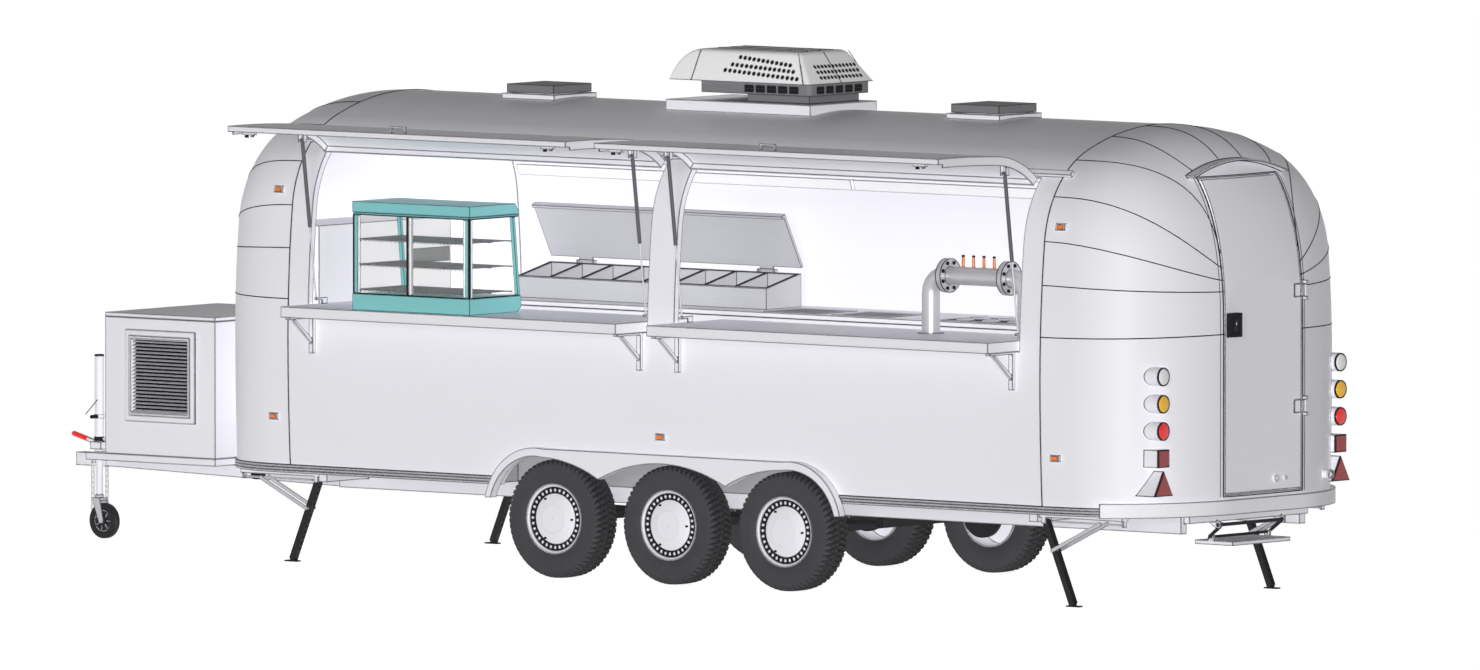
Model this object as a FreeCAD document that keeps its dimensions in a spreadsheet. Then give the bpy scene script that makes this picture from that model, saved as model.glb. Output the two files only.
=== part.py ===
"""A towed food trailer: rounded shell, two lift-up hatches, three axles and a drawbar.

X runs along the trailer and grows to the rear, -Y is the serving side, Z is up
and the ground is at zero.  All lengths are millimetres.
"""

import FreeCAD, Part
import Sketcher

import math
import os
import re

from FreeCAD import Placement, Rotation, Vector

doc = FreeCAD.newDocument("FoodTrailer")
sheet = doc.addObject("Spreadsheet::Sheet", "Sizes")

# Driving dimensions, grouped by what they size
SIZES = {
    # where the row's origin lies in the trailer's own frame
    "origin_x": -828.5, "origin_y": -325,
    # clearances
    "skin_gap": 0.3, "pin_gap": 0.05, "swing_gap": 6,
    # body cross-section
    "seam_x": 2660, "half_width": 1052, "widest_z": 1250, "skirt_z": 507,
    "roof_radius": 1800, "roof_centre_z": 798, "shoulder_radius": 580,
    "side_radius": 7000, "lower_radius": 12000, "wall": 40,
    # rounded ends
    "cap_length": 740, "cap_power": 2.73, "cap_pole_z": 1400, "cap_flat": 0.33,
    "cap_stations": 9,
    # serving openings and hatches
    "opening_near": 95, "opening_far": 2515, "sill_z": 1395, "hatch_foot_z": 1463,
    "hatch_skin": 14, "hatch_rim": 52, "hatch_foot_rim": 34, "hatch_rim_thick": 8,
    "hinge_z": 2335, "hinge_proud": 15, "hatch_open": 87.2,
    "knuckle_radius": 11, "hinge_pin_radius": 5, "knuckle_length": 90,
    "rail_reach": 62, "rail_tall": 34, "rail_proud": 20,
    "handle_wide": 110, "handle_proud": 34, "handle_bar": 12,
    # gas struts
    "strut_radius": 11, "strut_rod_radius": 5, "strut_eye": 9, "strut_pin_radius": 4,
    "strut_foot_y": -1020, "strut_foot_z": 1485, "strut_head_y": -911.7,
    "strut_head_z": 2076, "strut_inset": 26, "strut_tube": 492, "strut_wall": 3,
    "strut_eye_wide": 14, "strut_plate": 8, "strut_ear_gap": 16.5, "strut_ear_thick": 5,
    # counters and their brackets
    "counter_near": 110, "counter_far": 2500, "counter_out_y": -1310,
    "counter_in_y": -640, "counter_thick": 61, "bracket_wide": 30,
    "bracket_drop": 211, "bracket_inset": 10, "bracket_bar": 24,
    # rear door
    "door_half": 345, "door_foot_z": 609, "door_head_z": 2334, "door_axis_x": 3403,
    "door_bevel": 0.057, "door_hinge_low": 1064, "door_hinge_high": 1700,
    "latch_wide": 93, "latch_tall": 125, "latch_proud": 20, "latch_y": -277,
    "latch_z": 1538, "brow_proud": 45, "brow_thick": 12, "brow_z": 2341,
    "brow_half": 420, "brow_rise": 77,
    # front brow
    "front_brow_z": 1860, "front_brow_proud": 60, "front_brow_half": 420,
    # floor, wheel wells and chassis
    "floor_thick": 40, "well_half": 775, "well_front": -1236, "well_rear": 1314,
    "well_top": 722, "well_sheet": 8, "rail_y": 530, "rail_wide": 50,
    "rail_foot_z": 400, "rail_front": -2700, "rail_rear": 3250, "cross_wide": 60,
    "cross_tall": 50, "arm_tall": 70, "arm_wide": 50, "apex_x": -4815, "apex_y": 30,
    "shelf_front": -4595, "shelf_thick": 42,
    # axles, springs and wheels
    "axle_pitch": 814.5, "axle_mid_x": 7.5, "axle_z": 330, "axle_square": 50,
    "axle_half": 760, "stub_radius": 20, "stub_end": 965, "drum_radius": 130,
    "drum_in": 765, "drum_out": 795, "spring_y": 530, "spring_wide": 50,
    "spring_thick": 30, "spring_half": 340, "hanger_wide": 46,
    "tyre_radius": 330, "tyre_wide": 185, "wheel_face_y": 1000, "bead_radius": 186,
    "rim_lip_radius": 197, "rim_thick": 8, "disc_depth": 28,
    "disc_thick": 10, "hub_radius": 48, "hub_out": 978, "dome_radius": 140,
    "dome_rise": 26,
    # wheel arches and skirt trim
    "arch_mid_x": 39, "arch_half": 1255, "arch_foot_z": 438, "arch_top_z": 725,
    "arch_peak_step": 848, "arch_peak_z": 675, "arch_cusp_half": 449,
    "arch_cusp_z": 570, "arch_band": 40, "arch_proud": 40, "trim_top_z": 557,
    "trim_base": 4, "trim_rib": 12, "trim_rib_tall": 11, "trim_rib_step": 16,
    # rear bumper
    "bumper_start_x": 3048, "bumper_end_x": 3419, "bumper_half": 1183,
    "bumper_radius": 870, "bumper_foot_z": 502, "bumper_top_z": 584,
    # lamps
    "lamp_face_x": 3310, "lamp_y": 792, "lamp_radius": 51.5, "lamp_high_z": 1277,
    "lamp_step": 149, "lamp_square": 98, "reflector_side": 160,
    "marker_long": 60, "marker_tall": 40, "marker_proud": 16, "marker_x": 2765,
    "marker_high_z": 2086, "marker_low_z": 822,
    # roof cooler
    "cooler_x": -57, "cooler_long": 1023, "cooler_wide": 593, "cooler_plate_z": 2636,
    "riser_front": -50, "riser_rear": 388, "riser_wide": 440, "tray_foot_z": 2681,
    "tray_front": -352, "tray_rear": 429, "tray_wide": 540, "tray_top_z": 2745,
    "cover_long": 1000, "cover_wide": 580, "cover_top_front": -322, "cover_top_rear": 366,
    "cover_top_wide": 440, "cover_top_z": 2918, "cover_round": 24, "cover_front_round": 110,
    "tray_slots": 5, "tray_slot": 62, "tray_slot_step": 79, "tray_slot_tall": 37,
    "tray_slot_deep": 12, "tray_slot_x": -29,
    # roof vents
    "vent_front_x": -1640, "vent_rear_x": 1511, "vent_frame": 375, "vent_hole": 280,
    "vent_frame_z": 2620, "vent_lid": 335, "vent_lid_tall": 48, "vent_lid_wall": 4,
    "vent_pin_radius": 4,
    # generator box
    "gen_front": -4452, "gen_rear": -3650, "gen_half": 494, "gen_top_z": 1308,
    "gen_wall": 27, "gen_lid_thick": 25, "louvre_inset": 205, "louvre_wide": 402,
    "louvre_tall": 408, "louvre_top_z": 1163, "louvre_frame": 52, "louvre_proud": 8,
    "louvre_slats": 20, "slat_thick": 5, "slat_deep": 20,
    "block_long": 620, "block_wide": 460, "block_tall": 440,
    # corner steadies
    "steady_x": 2575, "steady_y": 884, "steady_pin_z": 462, "steady_lean": 22.6,
    "steady_wide": 36, "steady_wall": 4, "steady_brace_at": 170, "steady_head": 15,
    "steady_brace_long": 362, "steady_bar": 22, "steady_bar_thick": 4,
    "steady_bar_gap": 15, "steady_hole": 8, "steady_hole_step": 34, "foot_long": 90,
    "foot_thick": 8, "steady_base_long": 575, "steady_base_tall": 24,
    "spindle_radius": 6,
    # jockey wheel and coupling
    "jockey_x": -4783, "jockey_y": -150, "jockey_tube_radius": 26.5,
    "jockey_leg_radius": 21, "jockey_foot_z": 502, "jockey_top_z": 1035,
    "jockey_fork_z": 219, "jockey_leg_top": 760, "jockey_wheel_radius": 100,
    "jockey_wheel_wide": 44, "jockey_trail": 38, "jockey_fork_gap": 6,
    "jockey_fork_sheet": 6, "jockey_axle_radius": 8,
    "ball_x": -5010, "ball_z": 417, "socket_radius": 25.2, "head_wall": 12,
    "head_long": 233, "head_tall": 75, "neck_thick": 10, "lever_bar": 18,
    # safety chains
    "chain_x": -4905, "chain_y": 62, "chain_top_z": 430, "hook_radius": 4.5,
    "chain_links": 11,
    "link_long": 42, "link_wide": 24, "link_bar": 6,
    # folding step
    "step_pin_x": 3300, "step_pin_z": 440, "step_drop": 70, "step_back": 75,
    "step_shaft": 10, "step_ear_y": 284, "step_ear_thick": 8, "step_arm_y": 264,
    "step_arm_wide": 34, "tread_back_x": 3114, "tread_long": 263, "tread_half": 257,
    "tread_top_z": 350, "tread_thick": 24,
    # display case
    "case_front": -2012, "case_rear": -1173, "case_out_y": -1276, "case_in_y": -824,
    "case_top_z": 2060, "case_base": 90, "case_lid": 70, "case_post": 22,
    "shelf_count": 3, "case_shelf": 8, "glass_thick": 6, "case_lift": 0,
    # back counter, front cabinet and chilled prep unit
    "back_front": -2600, "back_rear": 2600, "back_in_y": 420, "back_top_z": 1420,
    "back_worktop": 30, "cabinet_front": -3100, "cabinet_rear": -2725,
    "cabinet_near_y": -700, "cabinet_far_y": 460, "cabinet_top_z": 1869,
    "prep_front": -2358, "prep_rear": -562, "prep_near_y": 588, "prep_far_y": 900,
    "prep_near_z": 1538, "prep_far_z": 1608, "pan_count": 8, "pan_rim": 24,
    "pan_deep": 110, "lid_thick": 18, "lid_reach": 352, "lid_tilt": 118.5,
    # tap tower
    "tower_y": -872, "tower_near_x": 1759, "tower_far_x": 2425, "tower_z": 1780,
    "pipe_radius": 50, "elbow_radius": 104, "flange_radius": 93.5,
    "flange_thick": 32, "flange_near_x": 1880, "flange_far_x": 2304, "tap_count": 4,
    "tap_step": 72, "tap_first_x": 1985, "tap_tall": 62, "tap_radius": 7,
    # light bars
    "bar_foot_z": 2084, "bar_top_z": 2145, "bar_deep": 40, "bar_front": -2600,
    "bar_joint": -210, "bar_rear": 2600, "bar_gap": 20,
}


def fill_sheet():
    """Write each size as a plain number in a cell of its own, with its name as alias."""
    for row, (alias, value) in enumerate(SIZES.items(), start=1):
        sheet.set(f"A{row}", alias)
        sheet.set(f"B{row}", str(value))
        sheet.setAlias(f"B{row}", alias)
    doc.recompute()


def size(alias):
    """The number a cell of the sheet holds."""
    return float(sheet.get(alias))


def formula(text):
    """An expression in which each plain word names a cell of the sheet."""
    return re.sub(r"[a-z][a-z_]*", lambda word: "Sizes." + word.group(0), str(text))


def bind(thing, **links):
    """Bind properties to expressions; a double underscore stands for a dot."""
    for name, text in links.items():
        thing.setExpression(name.replace("__", "."), formula(text))


def number(text):
    """What an expression of the sheet's words comes to."""
    return float(sheet.evalExpression(formula(text)))


TURNS = {
    "Z": Rotation(),
    "X": Rotation(Vector(0, 1, 0), 90),
    "Y": Rotation(Vector(1, 0, 0), -90),
}


def place(thing, x, y, z):
    """Bind where an object's own origin lies."""
    bind(thing, Placement__Base__x=x, Placement__Base__y=y, Placement__Base__z=z)


def box(name, long, wide, tall, x="0", y="0", z="0"):
    """A block from its lowest corner."""
    made = doc.addObject("Part::Box", name)
    bind(made, Length=long, Width=wide, Height=tall)
    place(made, x, y, z)
    return made


def rod(name, radius, length, x="0", y="0", z="0", along="Z"):
    """A round bar that starts at a point and runs along an axis."""
    made = doc.addObject("Part::Cylinder", name)
    made.Placement = Placement(Vector(), TURNS[along])
    bind(made, Radius=radius, Height=length)
    place(made, x, y, z)
    return made


def fuse(name, pieces):
    """Join pieces; those that don't touch stay separate solids of one object."""
    made = doc.addObject("Part::MultiFuse", name)
    made.Shapes = pieces
    return made


def cut(name, base, tools):
    """Take one or more pieces away from another."""
    made = doc.addObject("Part::Cut", name)
    made.Base = base
    made.Tool = tools if not isinstance(tools, list) else fuse(name + "_tools", tools)
    return made


def common(name, first, second):
    """What two pieces share."""
    made = doc.addObject("Part::MultiCommon", name)
    made.Shapes = [first, second]
    return made


def feature(name, shape):
    """A piece whose surfaces are worked out from the sheet's values."""
    made = doc.addObject("Part::Feature", name)
    made.Shape = Part.makeCompound([shape])
    return made


def outline(name, plane, corners, depth, start="0"):
    """A body padded from a sketch of straight edges, each corner bound to the sheet.

    The pad starts at a distance along the plane's positive axis and grows along it.
    """
    body = doc.addObject("PartDesign::Body", name)
    sketch = body.newObject("Sketcher::SketchObject", name + "_outline")
    role = {"XY": "XY_Plane", "XZ": "XZ_Plane", "YZ": "YZ_Plane"}[plane]
    base = [one for one in body.Origin.OriginFeatures if one.Role == role][0]
    sketch.AttachmentSupport = [(base, "")]
    sketch.MapMode = "FlatFace"
    flip = -1 if plane == "XZ" else 1
    spots = [Vector(number(a), number(b), 0) for a, b in corners]
    count = len(spots)
    for i in range(count):
        sketch.addGeometry(Part.LineSegment(spots[i], spots[(i + 1) % count]), False)

    for i in range(count):
        sketch.addConstraint(Sketcher.Constraint("Coincident", i, 2, (i + 1) % count, 1))
    for i, (a, b) in enumerate(corners):
        for kind, text, value in (("DistanceX", a, spots[i].x), ("DistanceY", b, spots[i].y)):
            spot = sketch.addConstraint(Sketcher.Constraint(kind, -1, 1, i, 1, value))
            sketch.setExpression(f"Constraints[{spot}]", formula(text))
    sketch.setExpression("AttachmentOffset.Base.z", formula(f"({start}) * {flip}"))
    pad = body.newObject("PartDesign::Pad", name + "_pad")
    pad.Profile = sketch
    pad.Reversed = plane == "XZ"
    bind(pad, Length=depth)
    body.Tip = pad
    return body


NODES = []


def node(piece, label, x="0", y="0", z="0", turn=None):
    """Name a finished sub-part and place it in the row's frame."""
    piece.Label = label
    if turn is not None:
        piece.Placement = Placement(Vector(), turn)
    place(piece, f"{x} - origin_x", f"{y} - origin_y", z)
    NODES.append(piece)
    return piece


# Body surfaces


def arc_points(centre, radius, start, end):
    """Start, middle and end of an arc, its angles in radians."""
    angles = (start, (start + end) / 2, end)
    return [
        (centre[0] + radius * math.cos(a), centre[1] + radius * math.sin(a))
        for a in angles
    ]


def section_arcs(inset):
    """The right half of the cross-section as arcs from the skirt to the crown.

    Each entry is (centre, radius, start angle, end angle) in the Y-Z plane.
    """
    widest = size("half_width")
    roof = (0.0, size("roof_centre_z"))
    side = (widest - size("side_radius"), size("widest_z"))
    lower = (widest - size("lower_radius"), size("widest_z"))
    roof_reach = size("roof_radius") - size("shoulder_radius")
    side_reach = size("side_radius") - size("shoulder_radius")
    across, up = side[0] - roof[0], side[1] - roof[1]
    apart = math.hypot(across, up)
    along = (roof_reach**2 - side_reach**2 + apart**2) / (2 * apart)
    off = math.sqrt(roof_reach**2 - along**2)
    shoulder = (
        roof[0] + (along * across + off * up) / apart,
        roof[1] + (along * up - off * across) / apart,
    )
    low_radius = size("lower_radius") - inset
    low = math.asin((size("skirt_z") - lower[1]) / low_radius)
    turn_side = math.atan2(shoulder[1] - side[1], shoulder[0] - side[0])
    turn_roof = math.atan2(shoulder[1] - roof[1], shoulder[0] - roof[0])
    return [
        (lower, low_radius, low, 0.0),
        (side, size("side_radius") - inset, 0.0, turn_side),
        (shoulder, size("shoulder_radius") - inset, turn_side, turn_roof),
        (roof, size("roof_radius") - inset, turn_roof, math.pi / 2),
    ]


def section_wire(inset, station_x, scale=1.0):
    """The closed cross-section at a station, drawn in towards the pole by a scale."""
    pole = size("cap_pole_z")

    def drawn(spot):
        high = pole + scale * (spot[1] - pole) if spot[1] > pole else spot[1]
        return Vector(station_x, scale * spot[0], high)

    lower, side, shoulder, roof = section_arcs(inset)
    rise = math.asin((pole - side[0][1]) / side[1])
    runs = [
        arc_points(lower[0], lower[1], lower[2], 0.0),
        arc_points(side[0], side[1], 0.0, rise),
        arc_points(side[0], side[1], rise, side[3]),
        arc_points(*shoulder),
    ]
    right = [[drawn(spot) for spot in run] for run in runs]
    crown = drawn(arc_points(*roof)[2])
    left = [[Vector(p.x, -p.y, p.z) for p in reversed(run)] for run in reversed(right)]
    edges = [Part.Arc(*run).toShape() for run in right]
    edges.append(Part.Arc(right[-1][2], crown, left[0][0]).toShape())
    edges += [Part.Arc(*run).toShape() for run in left]
    edges.append(Part.LineSegment(left[-1][2], right[0][0]).toShape())
    return Part.Wire(edges)


def centre_volume(inset):
    """The straight middle of the body as one filled prism."""
    face = Part.Face(section_wire(inset, -size("seam_x")))
    return face.extrude(Vector(2 * size("seam_x"), 0, 0))


def cap_volume(inset):
    """The rear end as one filled form: cross-sections drawn in along a superellipse."""
    power = size("cap_power")
    last = math.acos(size("cap_flat") ** (power / 2))
    steps = int(size("cap_stations"))
    wires = []
    for i in range(steps):
        angle = last * i / (steps - 1)
        reach = math.sin(angle) ** (2 / power) * (size("cap_length") - inset)
        wires.append(
            section_wire(inset, size("seam_x") + reach, math.cos(angle) ** (2 / power))
        )
    return Part.makeLoft(wires, True, False)


def slab(low, high):
    """Everything between two heights, to take bands from the body."""
    return Part.makeBox(9000, 3000, high - low, Vector(-4500, -1500, low))


class Volumes:
    """Filled forms of the body at a few insets, each made once."""

    made = {}

    @classmethod
    def cap(cls, inset):
        if inset not in cls.made:
            cls.made[inset] = cap_volume(inset)
        return cls.made[inset]


def front(shape):
    """A rear form turned to the front by a mirror."""
    return shape.mirror(Vector(), Vector(1, 0, 0))


def whole_volume(inset):
    """Middle and both ends as one filled form."""
    rear = Volumes.cap(inset)
    return centre_volume(inset).fuse([rear, front(rear)])


def hinge_frame():
    """Hatch hinge on the serving side: axis point, outward normal, upward tangent."""
    centre, radius = section_arcs(0)[2][:2]
    angle = math.asin((size("hinge_z") - centre[1]) / radius)
    normal = Vector(0, -math.cos(angle), math.sin(angle))
    tangent = Vector(0, math.sin(angle), math.cos(angle))
    surface = Vector(0, -centre[0], centre[1]) + normal * radius
    return surface + normal * size("hinge_proud"), normal, tangent


def from_hinge(out, up, start, length, corners):
    """A prism along X whose corners are (normal, tangent) distances from the hinge axis."""
    axis, normal, tangent = hinge_frame()
    spots = [axis + normal * n + tangent * t for n, t in corners]
    spots = [Vector(start, p.y, p.z) for p in spots]
    face = Part.Face(Part.makePolygon(spots + spots[:1]))
    return face.extrude(Vector(length, 0, 0))


def hatch_knuckles(start, end):
    """X positions of a hatch's three hinge knuckles."""
    third = (end - start) / 3
    return [start + third * (i + 0.5) for i in range(3)]


def along_x(radius, start, length, y, z):
    """A cylinder along X."""
    return Part.makeCylinder(radius, length, Vector(start, y, z), Vector(1, 0, 0))


def hinge_fixed(start, end):
    """The pins and ears of a hatch's hinge that stay on the body."""
    axis = hinge_frame()[0]
    proud, half = size("hinge_proud"), size("knuckle_length") / 2
    ear, side_gap = 18.0, 1.0
    made = []
    for middle in hatch_knuckles(start, end):
        left = middle - half - side_gap - ear
        pin_long = 2 * (half + side_gap + ear)
        made.append(along_x(size("hinge_pin_radius"), left, pin_long, axis.y, axis.z))
        for x in (left, middle + half + side_gap):
            corners = [(-10, 0), (9, 0), (9, 18), (-proud - 1, 18), (-proud - 1, 5)]
            made.append(from_hinge(0, 0, x, ear, corners))
    return made


def hinge_moving(start, end):
    """The knuckles and leaves that turn with a hatch, in its closed place."""
    axis = hinge_frame()[0]
    proud, long = size("hinge_proud"), size("knuckle_length")
    radius, bore = size("knuckle_radius"), size("hinge_pin_radius") + size("pin_gap")
    made = []
    for middle in hatch_knuckles(start, end):
        left = middle - long / 2
        leaf = from_hinge(
            0, 0, left, long, [(-proud - 1, -44), (-6, -44), (-6, -6), (-proud - 1, -6)]
        )
        knuckle = along_x(radius, left, long, axis.y, axis.z).fuse(leaf)
        made.append(knuckle.cut(along_x(bore, left - 1, long + 2, axis.y, axis.z)))
    return made


def opening_head(extra):
    """The cutter of a serving opening: open at the sill, stopped by the hinge line."""
    reach = 1500
    corners = [(reach, extra), (-reach, extra), (-reach, -2000), (reach, -2000)]
    near, far = size("opening_near"), size("opening_far")
    cutter = from_hinge(0, 0, near, far - near, corners)
    low = Part.makeBox(9000, 800, 4000, Vector(-4500, -1400, size("sill_z")))
    return cutter.common(low)


def arch_lower_edge(shift):
    """The scalloped lower edge of a wheel arch from front to rear, as edges in X-Z."""
    middle, top = size("arch_mid_x"), size("arch_peak_z") + shift
    foot_z, band = size("arch_foot_z"), size("arch_band") - shift
    cusp, peak = size("arch_cusp_half"), size("arch_peak_step")
    cusp_z, half = size("arch_cusp_z") + shift, size("arch_half")

    def at(x, z):
        return Vector(middle + x, 0, z)

    foot, rise = half - band, top - foot_z
    slope = 0.707
    return [
        Part.Arc(
            at(-foot, foot_z),
            at(-peak - (foot - peak) * slope, foot_z + rise * slope),
            at(-peak, top),
        ),
        Part.Arc(
            at(-peak, top),
            at((-peak - cusp) / 2, top - (top - cusp_z) * 0.25),
            at(-cusp, cusp_z),
        ),
        Part.Arc(at(-cusp, cusp_z), at(0, top), at(cusp, cusp_z)),
        Part.Arc(
            at(cusp, cusp_z),
            at((peak + cusp) / 2, top - (top - cusp_z) * 0.25),
            at(peak, top),
        ),
        Part.Arc(
            at(peak, top),
            at(peak + (foot - peak) * slope, foot_z + rise * slope),
            at(foot, foot_z),
        ),
    ]


def arch_cutter(shift):
    """The space of one row of wheels below a scalloped edge, through both walls."""
    edges = [one.toShape() for one in arch_lower_edge(shift)]
    first, last = edges[0].Vertexes[0].Point, edges[-1].Vertexes[-1].Point
    low = size("arch_foot_z") - 100
    spots = [last, Vector(last.x, 0, low), Vector(first.x, 0, low), first]
    edges += [Part.LineSegment(a, b).toShape() for a, b in zip(spots, spots[1:])]
    face = Part.Face(Part.Wire(edges))
    face.translate(Vector(0, -1500, 0))
    return face.extrude(Vector(0, 3000, 0))


def arch_band_shape():
    """The raised band round the wheels on the serving side, standing off the wall."""
    middle, half = size("arch_mid_x"), size("arch_half")
    top, foot_z, peak = size("arch_top_z"), size("arch_foot_z"), size("arch_peak_step")
    slope = 0.707

    def at(x, z):
        return Vector(middle + x, 0, z)

    rise = top - foot_z
    outer = [
        Part.Arc(
            at(half, foot_z),
            at(peak + (half - peak) * slope, foot_z + rise * slope),
            at(peak, top),
        ).toShape(),
        Part.LineSegment(at(peak, top), at(-peak, top)).toShape(),
        Part.Arc(
            at(-peak, top),
            at(-peak - (half - peak) * slope, foot_z + rise * slope),
            at(-half, foot_z),
        ).toShape(),
    ]
    lower = [one.toShape() for one in arch_lower_edge(0)]
    first, last = lower[0].Vertexes[0].Point, lower[-1].Vertexes[-1].Point
    joins = [
        Part.LineSegment(at(-half, foot_z), first).toShape(),
        Part.LineSegment(last, at(half, foot_z)).toShape(),
    ]
    face = Part.Face(Part.Wire(Part.sortEdges(lower + outer + joins)[0]))
    edge_y = size("half_width") - 14
    face.translate(Vector(0, -size("half_width") - size("arch_proud"), 0))
    return face.extrude(Vector(0, size("half_width") + size("arch_proud") - edge_y, 0))


def both_sides(shape):
    """A shape and its mirror on the other side."""
    return [shape, shape.mirror(Vector(), Vector(0, 1, 0))]


def vent_cutters(side, low, high):
    """Square holes through the roof at both vents."""
    return [
        Part.makeBox(side, side, high - low, Vector(size(x) - side / 2, -side / 2, low))
        for x in ("vent_front_x", "vent_rear_x")
    ]


# Shell


def make_centre_shell():
    """Middle of the shell with its two serving openings, hinge rail and vent holes."""
    shell = centre_volume(0).cut(centre_volume(size("wall")))
    opening = opening_head(2)
    openings = [opening, front(opening)]
    cutters = openings + [arch_cutter(8)]
    cutters += vent_cutters(size("vent_hole"), 2400, 2700)
    shell = shell.cut(cutters)
    rail_long = 2 * (size("seam_x") + size("rail_reach"))
    low, high = 16, 16 + size("rail_tall")
    foot, edge = -size("hinge_proud") - 8, size("rail_proud") - size("hinge_proud")
    rail = from_hinge(
        0, 0, -rail_long / 2, rail_long, [(foot, low), (edge, low), (edge, high), (foot, high)]
    )
    clear = Volumes.cap(-size("skin_gap"))
    rail = rail.cut([clear, front(clear)])
    near, far = size("opening_near"), size("opening_far")
    gap = size("swing_gap")
    fixed = hinge_fixed(near + gap, far - gap)
    fixed += [front(one) for one in fixed]
    node(feature("CentreShell", shell.fuse([rail] + fixed)), "centre_shell")


def arched_band(half, foot, rise, thick):
    """A prism along X over the rear end whose height follows a parabola across the body."""
    ys = [half * (i / 12 - 1) for i in range(25)]
    line = [Vector(2900, y, foot + rise * (1 - (y / half) ** 2)) for y in ys]
    upper = [spot + Vector(0, 0, thick) for spot in reversed(line)]
    face = Part.Face(Part.makePolygon(line + upper + line[:1]))
    return face.extrude(Vector(700, 0, 0))


def make_caps():
    """Rounded ends of the shell; the rear one has the doorway and the brow above it."""
    hollow = Volumes.cap(0).cut(Volumes.cap(size("wall")))
    half = size("door_half")
    low, high = size("door_foot_z"), size("door_head_z")
    doorway = Part.makeBox(600, 2 * half, high - low, Vector(2980, -half, low))
    thick = size("brow_thick")
    band = arched_band(size("brow_half"), size("brow_z"), size("brow_rise"), thick)
    brow = Volumes.cap(-size("brow_proud")).common(band).cut(Volumes.cap(10))
    ears = door_hinge_fixed()
    node(feature("RearCap", hollow.cut(doorway).fuse([brow] + ears)), "rear_cap")

    half = size("front_brow_half")
    strip = Part.makeBox(
        700, 2 * half, thick, Vector(3200, -half, size("front_brow_z"))
    )
    blade = Volumes.cap(-size("front_brow_proud")).common(strip).cut(Volumes.cap(10))
    node(feature("FrontCap", front(hollow.fuse(blade))), "front_cap")


def door_axis_y():
    """The door's hinge line lies just outside the edge of the doorway."""
    return size("door_half") + 8


def door_heights():
    """Middle height of each door hinge."""
    return [size("door_hinge_low"), size("door_hinge_high")]


def door_hinge_fixed():
    """Pins and ears of the door's hinges on the rear cap."""
    x, y = size("door_axis_x"), door_axis_y()
    made = []
    for middle in door_heights():
        made.append(Part.makeCylinder(6, 108, Vector(x, y, middle - 54)))
        for z in (middle - 54, middle + 36):
            foot = Part.makeBox(x - 3340, 26, 18, Vector(3340, y + 4, z))
            ear = Part.makeCylinder(11, 18, Vector(x, y, z))
            made += [foot, ear]
    return made


def make_door():
    """Rear door cut from the same surfaces as the cap, hinged on the far edge."""
    half, gap = size("door_half"), size("swing_gap")
    low, high = size("door_foot_z") + gap, size("door_head_z") - gap
    flat_x, slope = size("door_axis_x") - 16, size("door_bevel")
    reach_in = flat_x - 2980
    spots = [
        Vector(flat_x + 40, -half + gap, low),
        Vector(flat_x, -half + gap, low),
        Vector(2980, -half + gap + slope * reach_in, low),
        Vector(2980, half - gap, low),
        Vector(flat_x + 40, half - gap, low),
    ]
    cutter = Part.Face(Part.makePolygon(spots + spots[:1])).extrude(Vector(0, 0, high - low))
    leaf = Volumes.cap(0).cut(Volumes.cap(size("wall"))).common(cutter)
    x, y = size("door_axis_x"), door_axis_y()
    long = 70
    pieces = []
    for middle in door_heights():
        knuckle = Part.makeCylinder(11, long, Vector(x, y, middle - long / 2))
        strap = Part.makeBox(12, 64, long, Vector(x - 22, y - 78, middle - long / 2))
        tongue = Part.makeBox(12, 26, long, Vector(x - 12, y - 26, middle - long / 2))
        bore = Part.makeCylinder(
            6 + size("pin_gap"), long + 2, Vector(x, y, middle - long / 2 - 1)
        )
        pieces.append(knuckle.fuse([strap, tongue]).cut(bore))
    wide, tall = size("latch_wide"), size("latch_tall")
    latch = Part.makeBox(
        size("latch_proud") + 20, wide, tall,
        Vector(flat_x - 20, size("latch_y") - wide / 2, size("latch_z") - tall / 2),
    )
    node(feature("Door", leaf.fuse(pieces + [latch])), "door")


def make_floor():
    """Floor of the whole body, with the wells over the wheels."""
    low = size("skirt_z")
    inner = whole_volume(size("wall") + size("skin_gap"))
    board = inner.common(slab(low, low + size("floor_thick")))
    half, sheet_thick = size("well_half"), size("well_sheet")
    ahead, behind, top = size("well_front"), size("well_rear"), size("well_top")
    long = behind - ahead
    hole = Part.makeBox(long, 400, 400, Vector(ahead, half, low - 100))
    room = Part.makeBox(
        long + 2 * sheet_thick, 400, top + sheet_thick - low,
        Vector(ahead - sheet_thick, half - sheet_thick, low),
    )
    well = room.cut(hole.common(slab(low - 100, top))).common(inner)
    holes = both_sides(hole)
    node(feature("Floor", board.cut(holes).fuse(both_sides(well))), "floor")


# Chassis and running gear


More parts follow.
